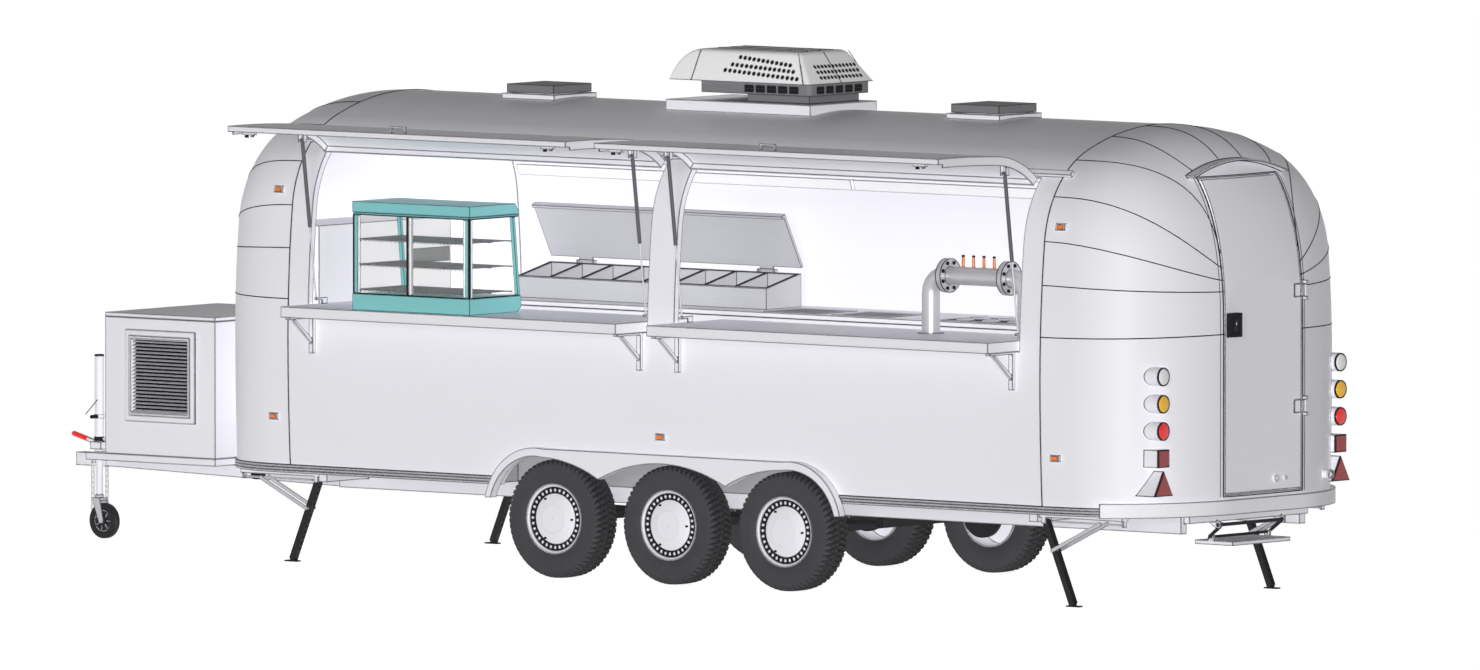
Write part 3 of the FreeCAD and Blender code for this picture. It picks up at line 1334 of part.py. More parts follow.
def steady_brace(turn_sign):
    """Two flat bars and their spacers on a pin through the leg; they straddle the spindle."""
    at, long = size("steady_brace_at"), size("steady_brace_long")
    half = size("steady_wide") / 2 + size("steady_bar_gap")
    thick, bar = size("steady_bar_thick"), size("steady_bar")
    lean = size("steady_lean")
    along = Vector(0, 1, 0)
    pieces = []
    for y in (-half - thick, half):
        pieces.append(Part.makeBox(long, thick, bar, Vector(0, y, -bar / 2)))
        pieces.append(Part.makeCylinder(bar / 2, thick, Vector(0, y, 0), along))
        pieces.append(Part.makeCylinder(bar / 2 + 2, thick, Vector(long, y, 0), along))
    pin = Part.makeCylinder(6, 2 * half + thick, Vector(0, -half - thick / 2, 0), along)
    spacer = size("steady_bar_gap") - 1
    for y in (-half, half - spacer):
        pieces.append(Part.makeCylinder(10, spacer, Vector(0, y, 0), along))
    made = pin.fuse(pieces)
    rise = math.degrees(math.asin(at * math.cos(math.radians(lean)) / long))
    made.rotate(Vector(), along, -rise)
    if turn_sign == 1:
        made = made.mirror(Vector(), Vector(1, 0, 0))
    made.rotate(Vector(), along, -turn_sign * lean)
    made.translate(Vector(0, 0, -at))
    return made


def make_jockey():
    """Jockey wheel: sliding leg, swivelling fork and small wheel."""
    fork_z, top, leg = "jockey_fork_z", "jockey_leg_top", "jockey_leg_radius"
    stem = rod("Jockey_stem", leg, f"{top} - {fork_z} - 12", "0", "0", "12")
    collar = rod("Jockey_collar", "jockey_tube_radius", "14", "0", "0", "12")
    kingpin = rod("Jockey_kingpin", "9", "24", "0", "0", "-10")
    node(fuse("JockeyLeg", [stem, collar, kingpin]), "jockey_leg", "jockey_x", "jockey_y",
         fork_z)
    wide = "jockey_wheel_wide / 2 + jockey_fork_gap"
    sheet_thick = "jockey_fork_sheet"
    crown = box("Fork_crown", "56", f"2 * ({wide} + {sheet_thick})", "16", "-28",
                f"-({wide} + {sheet_thick})", "-6")
    boss = rod("Fork_boss", "20", "20", "0", "0", "-10")
    bore = rod("Fork_bore", "9 + pin_gap", "60", "0", "0", "-30")
    drop = "jockey_fork_z - jockey_wheel_radius"
    cheeks = []
    for k, y in enumerate((f"-({wide} + {sheet_thick})", wide)):
        cheeks.append(
            outline(
                f"Fork_cheek_{k}", "XZ",
                [("-28", "10"), ("28", "10"), ("jockey_trail + 16", f"-({drop}) + 4"),
                 ("jockey_trail + 10", f"-({drop}) - 14"), ("jockey_trail - 12", f"-({drop}) - 14")],
                sheet_thick, y,
            )
        )
    axle = rod("Fork_axle", "jockey_axle_radius", f"2 * ({wide} + {sheet_thick})",
               "jockey_trail", f"-({wide} + {sheet_thick})", f"-({drop})", "Y")
    fork = cut("JockeyFork", fuse("Fork_joined", [crown, boss] + cheeks), bore)
    node(fuse("JockeyForkAxle", [fork, axle]), "jockey_fork", "jockey_x", "jockey_y",
         "jockey_fork_z")
    radius, half = size("jockey_wheel_radius"), size("jockey_wheel_wide") / 2
    bore_radius = size("jockey_axle_radius") + size("pin_gap")
    spots = [
        (bore_radius, -half), (26, -half), (26, -half + 8), (62, -half + 8), (62, -half),
        (radius - 8, -half), (radius, -half + 8), (radius, half - 8), (radius - 8, half),
        (62, half), (62, half - 8), (26, half - 8), (26, half), (bore_radius, half),
    ]
    spots = [Vector(r, y, 0) for r, y in spots]
    face = Part.Face(Part.makePolygon(spots + spots[:1]))
    wheel = face.revolve(Vector(), Vector(0, 1, 0), 360)
    node(feature("JockeyWheel", wheel), "jockey_wheel", "jockey_x + jockey_trail", "jockey_y",
         "jockey_wheel_radius")


def make_coupling():
    """Ball coupling, the brake lever and the jockey wheel's clamp tube."""
    wide = "2 * (socket_radius + head_wall)"
    head = box("Head_block", "head_long", wide, "head_tall", "ball_x - 38",
               "-(socket_radius + head_wall)", "ball_z - 22")
    socket = rod("Head_socket", "socket_radius", "31", "ball_x", "0", "ball_z - 23")
    dome = doc.addObject("Part::Sphere", "Head_dome")
    bind(dome, Radius="socket_radius")
    place(dome, "ball_x", "0", "ball_z + 8")
    bored = cut("Head_bored", head, [socket, dome])
    neck = box("Head_neck", "190", "90", "neck_thick", "apex_x - 80", "-45",
               "rail_foot_z + arm_tall")
    lever = outline(
        "Brake_lever", "XZ",
        [("ball_x + 120", "ball_z + 40"), ("ball_x + 150", "ball_z + 40"),
         ("ball_x + 96", "ball_z + 128"), ("ball_x - 60", "ball_z + 168"),
         ("ball_x - 66", "ball_z + 146"), ("ball_x + 80", "ball_z + 106")],
        "lever_bar", "-40",
    )
    tube = cut(
        "Jockey_outer",
        rod("Jockey_tube", "jockey_tube_radius", "jockey_top_z - jockey_foot_z",
            "jockey_x", "jockey_y", "jockey_foot_z"),
        rod("Jockey_bore", "jockey_leg_radius + pin_gap", "jockey_top_z - jockey_foot_z - 8",
            "jockey_x", "jockey_y", "jockey_foot_z - 2"),
    )
    clamp = outline(
        "Jockey_clamp", "XY",
        [("jockey_x - 40", "jockey_y - 34"), ("jockey_x + 40", "jockey_y - 34"),
         ("jockey_x + 40", "-20"), ("jockey_x - 40", "-20")],
        "44", "jockey_foot_z",
    )
    web = box("Clamp_web", "80", "25", "jockey_foot_z + 44 - (rail_foot_z + arm_tall)",
              "jockey_x - 40", "-45", "rail_foot_z + arm_tall")
    clamp_bore = rod("Clamp_bore", "jockey_leg_radius + pin_gap", "60", "jockey_x", "jockey_y",
                     "jockey_foot_z - 8")
    clamp_open = cut("Clamp_open", clamp, clamp_bore)
    hooks = rod("Chain_hooks", "hook_radius", "2 * chain_y + 16", "chain_x", "-chain_y - 8",
                "chain_top_z - link_bar - skin_gap - hook_radius", "Y")
    node(fuse("Coupling", [bored, neck, lever, tube, web, clamp_open, hooks]), "coupling")


def chain_shape(y):
    """One hanging chain: links of square bar, each turned a quarter from the last."""
    long, wide, bar = size("link_long"), size("link_wide"), size("link_bar")
    links = []
    for i in range(int(size("chain_links"))):
        low = size("chain_top_z") - long - i * (long - 2 * bar)
        outer = Part.makeBox(wide, bar, long, Vector(-wide / 2, -bar / 2, low))
        inner = Part.makeBox(wide - 2 * bar, bar + 2, long - 2 * bar,
                             Vector(-wide / 2 + bar, -bar / 2 - 1, low + bar))
        link = outer.cut(inner)
        if i % 2:
            link.rotate(Vector(), Vector(0, 0, 1), 90)
        link.translate(Vector(size("chain_x"), y, 0))
        links.append(link)
    return links[0].fuse(links[1:])


def make_chains():
    """Two safety chains that hang beside the coupling."""
    y = size("chain_y")
    node(feature("SafetyChains", Part.makeCompound([chain_shape(-y), chain_shape(y)])),
         "safety_chains")


def make_step():
    """Folding step: arms on a shaft and the tread they carry."""
    shaft = rod("Step_shaft", "step_shaft", "2 * (step_ear_y + step_ear_thick)", "0",
                "-(step_ear_y + step_ear_thick)", "0", "Y")
    pieces = [shaft]
    for k, y in enumerate(("-step_arm_y - 8", "step_arm_y")):
        pieces.append(
            outline(
                f"Step_arm_{k}", "XZ",
                [("6", "-step_arm_wide / 2"), ("14", "step_arm_wide / 2"),
                 ("-step_back - 6", "-step_drop + 9"),
                 ("-step_back - 14", "-step_drop - step_arm_wide / 2")],
                "8", y,
            )
        )
    pieces.append(
        rod("Step_low_pins", "8", "2 * step_arm_y + 16", "-step_back",
            "-step_arm_y - 8", "-step_drop", "Y")
    )
    node(fuse("StepArms", pieces), "step_arms", "step_pin_x", "0", "step_pin_z")
    board = box("Tread_board", "tread_long", "2 * tread_half", "tread_thick",
                "tread_back_x", "-tread_half", "tread_top_z - tread_thick")
    ears = []
    pin_x, pin_z = "step_pin_x - step_back", "step_pin_z - step_drop"
    for k, y in enumerate(("-step_arm_y + 8", "step_arm_y - 20")):
        plate = box(f"Tread_ear_{k}", "40", "12", f"{pin_z} + 11 - tread_top_z",
                    f"{pin_x} - 20", y, "tread_top_z")
        hole = rod(f"Tread_bore_{k}", "8 + pin_gap", "16", pin_x, f"{y} - 2", pin_z, "Y")
        ears.append(cut(f"Tread_ear_bored_{k}", plate, hole))
    node(fuse("StepTread", [board] + ears), "step_tread")


# Inside


def make_display_case():
    """Glazed display case on the front counter, and its panes."""
    low = "sill_z + counter_thick + case_lift"
    long, deep = "case_rear - case_front", "case_in_y - case_out_y"
    base = box("Case_base", long, deep, "case_base", "case_front", "case_out_y", low)
    top = box("Case_top", long, deep, "case_lid", "case_front", "case_out_y",
              "case_top_z - case_lid")
    pieces = [base, top]
    tall = f"case_top_z - case_lid - ({low}) - case_base"
    middle = "(case_front + case_rear) / 2 - case_post / 2"
    xs = ("case_front", middle, "case_rear - case_post")
    for i, x in enumerate(xs):
        for k, y in enumerate(("case_out_y", "case_in_y - case_post")):
            pieces.append(box(f"Case_post_{i}_{k}", "case_post", "case_post", tall, x, y,
                              f"{low} + case_base"))
    count = int(size("shelf_count"))
    for i in range(count):
        pieces.append(
            box(f"Case_shelf_{i}", f"{long} - 2 * case_post", f"{deep} - case_post",
                "case_shelf", "case_front + case_post", "case_out_y + case_post / 2",
                f"{low} + case_base + ({tall}) * {i + 0.3} / {count}")
        )
    node(fuse("DisplayCase", pieces), "display_case")
    panes = []
    pane_tall = f"{tall} - 2 * skin_gap"
    z = f"{low} + case_base + skin_gap"
    half_long = f"({long} - 3 * case_post) / 2 - 2 * skin_gap"
    inset = "4"
    for i, x in enumerate(("case_front + case_post + skin_gap",
                           "(case_front + case_rear) / 2 + case_post / 2 + skin_gap")):
        for k, y in enumerate((f"case_out_y + {inset}", f"case_in_y - {inset} - glass_thick")):
            panes.append(box(f"Pane_{i}_{k}", half_long, "glass_thick", pane_tall, x, y, z))
    side_deep = f"{deep} - 2 * case_post - 2 * skin_gap"
    for k, x in enumerate((f"case_front + {inset}", f"case_rear - {inset} - glass_thick")):
        panes.append(box(f"Pane_side_{k}", "glass_thick", side_deep, pane_tall, x,
                         "case_out_y + case_post + skin_gap", z))
    node(fuse("DisplayGlass", panes), "display_glass")


def make_back_counter():
    """Cabinets with a worktop along the far wall, and the tall front cabinet."""
    floor_z = "skirt_z + floor_thick"
    body = box("Back_body", "back_rear - back_front", "700", "back_top_z - back_worktop"
               f" - ({floor_z})", "back_front", "back_in_y + 24", floor_z)
    top = box("Back_top", "back_rear - back_front", "700", "back_worktop", "back_front",
              "back_in_y", "back_top_z - back_worktop")
    tall = box("Cabinet", "cabinet_rear - cabinet_front", "cabinet_far_y - cabinet_near_y",
               f"cabinet_top_z - ({floor_z})", "cabinet_front", "cabinet_near_y", floor_z)
    ahead, behind = size("well_front"), size("well_rear")
    sheet_thick = size("well_sheet")
    half = size("well_half")
    room = feature(
        "Inside_room",
        whole_volume(size("wall") + 2 * size("skin_gap")).cut(
            Part.makeBox(
                behind - ahead + 2 * sheet_thick + 2, 600,
                size("well_top") + sheet_thick - 400 + 1,
                Vector(ahead - sheet_thick - 1, half - sheet_thick - 1, 400),
            )
        ),
    )
    node(common("BackCounter", fuse("Back_block", [body, top, tall]), room), "back_counter")


def make_prep_unit():
    """Chilled prep unit with a row of pans and its raised lid."""
    long = "prep_rear - prep_front"
    body = outline(
        "Prep_body", "YZ",
        [("prep_near_y", "back_top_z"), ("prep_far_y", "back_top_z"),
         ("prep_far_y", "prep_far_z"), ("prep_near_y", "prep_near_z")],
        long, "prep_front",
    )
    pans = []
    count = int(size("pan_count"))
    pitch = f"({long} - pan_rim) / {count}"
    for i in range(count):
        pans.append(
            box(f"Pan_{i}", f"{pitch} - pan_rim", "prep_far_y - prep_near_y - 2 * pan_rim",
                "400", f"prep_front + pan_rim + {i} * {pitch}", "prep_near_y + pan_rim",
                "prep_near_z - pan_deep")
        )
    hinge_y, hinge_z = "prep_far_y + 12", "prep_far_z + 8"
    pieces = []
    for i, x in enumerate(("prep_front + 200", "prep_rear - 300")):
        for k, offset in enumerate(("-14", "101")):
            pieces.append(
                box(f"Prep_ear_{i}_{k}", "12", "26", "30", f"{x} + {offset}",
                    "prep_far_y - 4", f"{hinge_z} - 22")
            )
        pieces.append(rod(f"Prep_pin_{i}", "4", "127", f"{x} - 14", hinge_y, hinge_z, "X"))
    hollowed = cut("Prep_hollowed", body, pans)
    node(fuse("PrepUnit", [hollowed] + pieces), "prep_unit")

    board = box("Lid_board", long, "lid_reach - 10", "lid_thick", "prep_front",
                "-lid_reach - 14", "2")
    lip = box("Lid_lip", long, "lid_thick", "34", "prep_front", "-lid_reach - 14", "-14")
    joined, bores = [board, lip], []
    for i, x in enumerate(("prep_front + 200", "prep_rear - 300")):
        joined.append(rod(f"Lid_knuckle_{i}", "8", "98", x, "0", "0", "X"))
        joined.append(box(f"Lid_leaf_{i}", "98", "32", "6", x, "-30", "2"))
        bores.append(rod(f"Lid_bore_{i}", "4 + pin_gap", "100", f"{x} - 1", "0", "0", "X"))
    lid = cut("PrepLid", fuse("Lid_joined", joined), bores)
    turn = Rotation(Vector(1, 0, 0), size("lid_tilt") - 180)
    node(lid, "prep_lid", "0", hinge_y, hinge_z, turn)


def make_tap_tower():
    """Bent pipe over the rear counter with bolted flanges and four taps."""
    low = "sill_z + counter_thick"
    y, z = "tower_y", "tower_z"
    pieces = []
    for k, x in enumerate(("tower_near_x", "tower_far_x")):
        pieces.append(rod(f"Tower_leg_{k}", "pipe_radius", f"{z} - elbow_radius - ({low})",
                          x, y, low))
        bend = doc.addObject("Part::Torus", f"Tower_bend_{k}")
        bind(bend, Radius1="elbow_radius", Radius2="pipe_radius")
        bend.Angle3 = 90
        turn = Rotation(Vector(1, 0, 0), 90)
        if k == 0:
            turn = Rotation(Vector(1, 0, 0), 90).multiply(Rotation(Vector(0, 0, 1), 90))
        bend.Placement = Placement(Vector(), turn)
        middle = f"{x} + elbow_radius" if k == 0 else f"{x} - elbow_radius"
        place(bend, middle, y, f"{z} - elbow_radius")
        pieces.append(bend)
    pieces.append(rod("Tower_run", "pipe_radius", "tower_far_x - tower_near_x - 2 * elbow_radius",
                      "tower_near_x + elbow_radius", y, z, "X"))
    for k, x in enumerate(("flange_near_x", "flange_far_x")):
        pieces.append(rod(f"Flange_{k}", "flange_radius", "flange_thick",
                          f"{x} - flange_thick / 2", y, z, "X"))
    for i in range(int(size("tap_count"))):
        pieces.append(rod(f"Tap_{i}", "tap_radius", "tap_tall + 10", f"tap_first_x + {i} * tap_step",
                          y, f"{z} + pipe_radius - 10"))
    node(fuse("TapTower", pieces), "tap_tower")


def make_light_bars():
    """Two light bars along the far wall below the roof."""
    deep = size("bar_deep")
    low, high = size("bar_foot_z"), size("bar_top_z")
    band = centre_volume(size("wall") + size("skin_gap")).cut(centre_volume(size("wall") + deep))
    bars = []
    spans = [(size("bar_front"), size("bar_joint")),
             (size("bar_joint") + size("bar_gap"), size("bar_rear"))]
    for start, end in spans:
        block = Part.makeBox(end - start, 1200, high - low, Vector(start, 0, low))
        bars.append(band.common(block))
    node(feature("LightBars", Part.makeCompound(bars)), "light_bars")


def check_all():
    """Stop on any object that failed, and on any sub-part that isn't a sound shape."""
    for thing in doc.Objects:
        if "Invalid" in thing.State or "Error" in thing.State:
            raise RuntimeError(f"{thing.Name} failed: {thing.State}")
    for piece in NODES:
        shape = piece.Shape
        if shape.isNull() or not shape.isValid() or not shape.Solids:
            raise RuntimeError(f"{piece.Label} has no sound shape")


def write_all():
    """Write one STEP file for each sub-part, named after it."""
    os.makedirs("parts", exist_ok=True)
    for piece in NODES:
        piece.Shape.exportStep(f"parts/{piece.Label}.step")
        print(piece.Label, len(piece.Shape.Solids), "solids", round(piece.Shape.Volume / 1e6), "litres")


fill_sheet()
make_centre_shell()
make_caps()
make_door()
make_floor()
make_chassis()
make_axles()
make_wheels()
make_skirt_trim()
make_bumper()
make_lamps()
make_roof_cooler()
make_vents()
make_generator()
make_hatches()
make_struts()
make_counters()
make_steadies()
make_jockey()
make_coupling()
make_chains()
make_step()
make_display_case()
make_back_counter()
make_prep_unit()
make_tap_tower()
make_light_bars()
doc.recompute()
check_all()
write_all()
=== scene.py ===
"""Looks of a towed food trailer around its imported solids.

The trailer's own frame has X along it to the rear, -Y on the serving side and Z up
from the ground. Lengths are metres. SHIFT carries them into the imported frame.
"""

import math

import bmesh
import bpy
import numpy as np
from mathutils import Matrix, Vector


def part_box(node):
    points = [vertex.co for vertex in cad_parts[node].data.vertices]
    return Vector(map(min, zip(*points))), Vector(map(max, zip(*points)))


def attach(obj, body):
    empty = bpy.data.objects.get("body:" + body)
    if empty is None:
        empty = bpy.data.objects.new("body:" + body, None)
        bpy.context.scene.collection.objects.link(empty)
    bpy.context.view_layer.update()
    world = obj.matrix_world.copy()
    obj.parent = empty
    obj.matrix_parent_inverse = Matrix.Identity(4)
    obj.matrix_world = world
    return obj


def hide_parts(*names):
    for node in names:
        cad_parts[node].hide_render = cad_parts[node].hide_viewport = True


bl_info = {
    "name": "Food trailer looks",
    "version": (1, 0, 0),
    "blender": (4, 5, 0),
    "location": "View3D > Sidebar > Trailer",
    "description": "Finishes and fine pieces of a towed food trailer",
    "category": "Object",
}

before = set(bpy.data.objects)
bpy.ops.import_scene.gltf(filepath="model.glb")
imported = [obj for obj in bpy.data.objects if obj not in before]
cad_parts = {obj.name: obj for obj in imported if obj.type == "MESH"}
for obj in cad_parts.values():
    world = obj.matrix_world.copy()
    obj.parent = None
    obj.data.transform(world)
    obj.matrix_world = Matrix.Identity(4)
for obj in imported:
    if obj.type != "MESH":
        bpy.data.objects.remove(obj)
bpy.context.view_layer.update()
FLOOR_LOW, FLOOR_HIGH = (np.array(corner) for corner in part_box("floor"))
SHIFT = np.array([*((FLOOR_LOW + FLOOR_HIGH) / 2)[:2], 0.0])

SEAM_X = 2.66
CAP_LONG, CAP_POWER, CAP_POLE, ROOF_TOP = 0.74, 2.73, 1.4, 2.598
DOOR_HALF = 0.345
AXLES = (-0.807, 0.0075, 0.822)
WHEEL_FACE, AXLE_Z = 1.0, 0.33


# Surfaces worked out with numpy


def unit(vectors):
    """Each vector divided by its own length."""
    vectors = np.asarray(vectors, float)
    return vectors / np.maximum(np.linalg.norm(vectors, axis=-1, keepdims=True), 1e-12)


def quads(rows, columns, wrap_rows=False, wrap_columns=False):
    """Corner numbers of the quads of a grid, joined round where a side is wrapped."""
    i = np.arange(rows if wrap_rows else rows - 1)
    j = np.arange(columns if wrap_columns else columns - 1)
    a, b = np.meshgrid(i, j, indexing="ij")
    c, d = (a + 1) % rows, (b + 1) % columns
    corners = (a * columns + b, c * columns + b, c * columns + d, a * columns + d)
    return np.stack(corners, -1).reshape(-1, 4)


def grid(points, wrap_rows=False, wrap_columns=False, coat=0):
    """One surface from an array of points laid out in rows and columns.

    The coat is the number of its finish among those of the piece.
    """
    rows, columns = points.shape[:2]
    faces = quads(rows, columns, wrap_rows, wrap_columns)
    return points.reshape(-1, 3), faces, coat


def circle(radius, sides, start=0.0):
    """Points of a circle: radius times the cosine and the sine of an even turn."""
    turn = start + np.arange(sides) * 2 * math.pi / sides
    return np.stack([np.cos(turn), np.sin(turn)], -1) * radius


def cross_axes(along):
    """Two unit vectors across a direction."""
    along = unit(along)
    helper = np.array([0, 0, 1.0]) if abs(along[2]) < 0.9 else np.array([1.0, 0, 0])
    first = unit(np.cross(along, helper))
    return first, np.cross(along, first)


def turned(profile, centre, along, sides=48, coat=0):
    """A profile of (radius, height) turned about an axis.

    Point = centre + height * axis + radius * (cosine * first + sine * second).
    """
    profile = np.asarray(profile, float)
    first, second = cross_axes(along)
    ring = circle(1.0, sides)
    around = ring[:, :1] * first + ring[:, 1:] * second
    points = (
        np.asarray(centre, float)
        + profile[:, None, 1:2] * unit(along)
        + profile[:, None, 0:1] * around[None]
    )
    return grid(points, wrap_columns=True, coat=coat)


def carried(path, profile, across, coat=0):
    """A flat profile carried along a path, with both ends drawn to a point.

    Point = path + first number * side + second number * lift, where side is the path's
    direction crossed with the given vector, and lift is square to both.
    """
    path = np.asarray(path, float)
    ahead = np.roll(path, -1, 0) - np.roll(path, 1, 0)
    ahead[0], ahead[-1] = path[1] - path[0], path[-1] - path[-2]
    ahead = unit(ahead)
    side = unit(np.cross(ahead, np.broadcast_to(across, path.shape)))
    lift = np.cross(side, ahead)
    profile = np.asarray(profile, float)
    points = (
        path[:, None]
        + profile[None, :, :1] * side[:, None]
        + profile[None, :, 1:] * lift[:, None]
    )
    first = np.broadcast_to(path[:1, None], points[:1].shape)
    last = np.broadcast_to(path[-1:, None], points[:1].shape)
    return grid(np.concatenate([first, points, last]), wrap_columns=True, coat=coat)


def block(low, high, coat=0):
    """A box between two corners: every mix of its low and high numbers."""
    low, high = np.minimum(low, high), np.maximum(low, high)
    pick = np.array([[i >> 2 & 1, i >> 1 & 1, i & 1] for i in range(8)])
    points = low + pick * (high - low)
    faces = np.array(
        [[0, 1, 3, 2], [4, 6, 7, 5], [0, 4, 5, 1], [2, 3, 7, 6], [0, 2, 6, 4], [1, 5, 7, 3]]
    )
    return points, faces, coat


def rod_between(start, end, radius, sides=12, coat=0):
    """A round bar between two points."""
    start, end = np.asarray(start, float), np.asarray(end, float)
    long = float(np.linalg.norm(end - start))
    profile = [(0, 0), (radius, 0), (radius, long), (0, long)]
    return turned(profile, start, end - start, sides, coat)


def stepped(centre, across, up, steps, coat=0, shut=False):
    """Rings of a rectangle, each a half width, a half height and a lift.

    Point = centre +- half width * across +- half height * up + lift * (across x up).
    """
    across, up, centre = (np.asarray(one, float) for one in (across, up, centre))
    normal = np.cross(across, up)
    signs = np.array([(-1, -1), (1, -1), (1, 1), (-1, 1)], float)
    rows = []
    for wide, tall, lift in steps:
        rows.append(centre + signs[:, :1] * wide * across + signs[:, 1:] * tall * up
                    + lift * normal)
    if shut:
        rows.append(np.broadcast_to(rows[-1].mean(0), rows[-1].shape))
    return grid(np.stack(rows), wrap_columns=True, coat=coat)


def prism(outline, offset, coat=0):
    """A flat outline swept along an offset, with both ends shut."""
    outline = np.asarray(outline, float)
    both = np.stack([outline, outline + np.asarray(offset, float)])
    face = np.arange(len(outline))[None]
    return [grid(both, wrap_columns=True, coat=coat),
            (both[0], face[:, ::-1], coat), (both[1], face, coat)]


def moved(surface, offset):
    """The same surface moved by an offset."""
    points, faces, coat = surface
    return points + np.asarray(offset, float), faces, coat


def mirrored(surface, axis):
    """The same surface mirrored across the plane through the origin square to an axis."""
    points, faces, coat = surface
    flipped = points.copy()
    flipped[:, axis] *= -1
    return flipped, faces[:, ::-1], coat


def both_sides(surfaces, axis=1):
    """Every surface and its mirror image."""
    return list(surfaces) + [mirrored(one, axis) for one in surfaces]


def build(name, surfaces, finishes, body="trailer", bevel=0.0, sharp=35, hides=()):
    """Join surfaces into one object with merged corners, outward faces and named finishes."""
    points, corners, totals, indexes, base = [], [], [], [], 0
    for one, faces, coat in surfaces:
        points.append(one)
        corners.append((faces + base).reshape(-1))
        totals.append(np.full(len(faces), faces.shape[1]))
        indexes.append(np.full(len(faces), coat))
        base += len(one)
    points = np.concatenate(points) + SHIFT
    corners, totals = np.concatenate(corners), np.concatenate(totals)
    mesh = bpy.data.meshes.new(name)
    mesh.vertices.add(len(points))
    mesh.vertices.foreach_set("co", points.astype(np.float32).reshape(-1))
    mesh.loops.add(len(corners))
    mesh.loops.foreach_set("vertex_index", corners.astype(np.int32))
    mesh.polygons.add(len(totals))
    starts = np.concatenate([[0], np.cumsum(totals)[:-1]])
    mesh.polygons.foreach_set("loop_start", starts.astype(np.int32))
    mesh.polygons.foreach_set("material_index", np.concatenate(indexes).astype(np.int32))
    mesh.update(calc_edges=True)
    work = bmesh.new()
    work.from_mesh(mesh)
    bmesh.ops.remove_doubles(work, verts=work.verts, dist=1e-5)
    bmesh.ops.dissolve_degenerate(work, edges=work.edges, dist=1e-6)
    bmesh.ops.recalc_face_normals(work, faces=work.faces)
    work.to_mesh(mesh)
    work.free()
    mesh.shade_smooth()
    mesh.set_sharp_from_angle(angle=math.radians(sharp))
    piece = bpy.data.objects.new(name, mesh)
    bpy.context.scene.collection.objects.link(piece)
    for one in finishes:
        mesh.materials.append(painted(one))
    if bevel:
        rounding = piece.modifiers.new("Rounded edges", "BEVEL")
        rounding.width = bevel
        rounding.segments = 2
        rounding.limit_method = "ANGLE"
        rounding.harden_normals = False
    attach(piece, body)
    if hides:
        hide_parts(*hides)
    return piece


# The body's own surfaces


def section_line():
    """Half of the cross-section from the roof's middle down to the skirt.

    Four arcs that run into each other: roof, shoulder, side and lower side. Each point is
    the arc's centre + radius * (cosine, sine) of a turn.
    """
    widest, widest_z, skirt_z = 1.052, 1.25, 0.507
    side_radius, low_radius = 7.0, 12.0
    roof, shoulder = np.array([0.0, 0.798]), np.array([0.43505, 1.93779])
    side, low = (np.array([widest - radius, widest_z]) for radius in (side_radius, low_radius))
    first = math.atan2(*(shoulder - roof)[::-1])
    second = math.atan2(*(shoulder - side)[::-1])
    foot = -math.asin((widest_z - skirt_z) / low_radius)
    spans = [
        (roof, 1.8, math.pi / 2, first, 60), (shoulder, 0.58, first, second, 60),
        (side, side_radius, second, 0.0, 60), (low, low_radius, 0.0, foot, 40),
    ]
    parts = []
    for centre, radius, start, end, count in spans:
        turn = np.linspace(start, end, count)
        parts.append(centre + radius * np.stack([np.cos(turn), np.sin(turn)], -1))
    return np.concatenate(parts)


SECTION = section_line()


def section_y(z):
    """Half width of the cross-section at a height, read along its line."""
    return np.interp(z, SECTION[::-1, 1], SECTION[::-1, 0])


def cap_shape(turn):
    """Reach and scale of a rounded end: sine and cosine of a turn, to 2 / the power."""
    power = 2 / CAP_POWER
    sine, cosine = np.sin(turn), np.cos(turn)
    return np.abs(sine) ** power, np.abs(cosine) ** power


def cap_point(turn, height):
    """Point of the rear end at a turn from the seam and a height of the cross-section.

    X = seam + length * reach, Y = half width * scale, and Z is the height, which above the
    pole is pole + scale * (height - pole).
    """
    reach, scale = cap_shape(turn)
    z = np.where(height > CAP_POLE, CAP_POLE + scale * (height - CAP_POLE), height)
    return np.stack([SEAM_X + CAP_LONG * reach, section_y(height) * scale, z], -1)


def cap_turn(y, z):
    """Turn and cross-section height of the rear end's point at a side distance and height.

    The scale is y / half width up to the pole. Above it the height is the one whose scaled
    half width comes nearest to y. The turn's cosine is scale to half the power.
    """
    if z <= CAP_POLE:
        scale = y / section_y(z)
        height = z
    else:
        heights = np.linspace(z, ROOF_TOP, 4000)
        scales = (z - CAP_POLE) / (heights - CAP_POLE)
        widths = section_y(heights) * scales
        at = int(np.argmin(np.abs(widths - y)))
        height, scale = float(heights[at]), float(scales[at])
    return math.acos(min(1.0, scale ** (CAP_POWER / 2))), height


def cap_x(y, z):
    """X of the rear end's outside at a side distance and a height below the pole.

    X = seam + length * reach, at the turn whose scale is y / half width.
    """
    scale = np.clip(np.abs(y) / section_y(z), 0, 1)
    turn = np.arccos(scale ** (CAP_POWER / 2))
    return SEAM_X + CAP_LONG * cap_shape(turn)[0]


def end_point(y, z):
    """Point of the rear end at a side distance, on either side, and a height."""
    turn, height = cap_turn(abs(y), z)
    return cap_point(turn, height) * (1, -1 if y < 0 else 1, 1)


# Finishes


def shade(red, green, blue):
    """Linear colour of a screen colour from 0 to 255."""
    one = np.array([red, green, blue]) / 255
    line = np.where(one <= 0.04045, one / 12.92, ((one + 0.055) / 1.055) ** 2.4)
    return (*line.tolist(), 1.0)


def tone(colour):
    """Linear colour from screen numbers, or the sidebar's colour of that name."""
    if isinstance(colour, str):
        return (*getattr(bpy.context.scene.trailer_colours, colour), 1.0)
    return shade(*colour)


def add_node(tree, kind, inputs=None, **settings):
    """A node with its settings; an input is a plain value or another node's socket."""
    made = tree.nodes.new(kind)
    for key, value in settings.items():
        setattr(made, key, value)
    for key, value in (inputs or {}).items():
        if isinstance(value, bpy.types.NodeSocket):
            tree.links.new(value, made.inputs[key])
        else:
            made.inputs[key].default_value = value
    return made


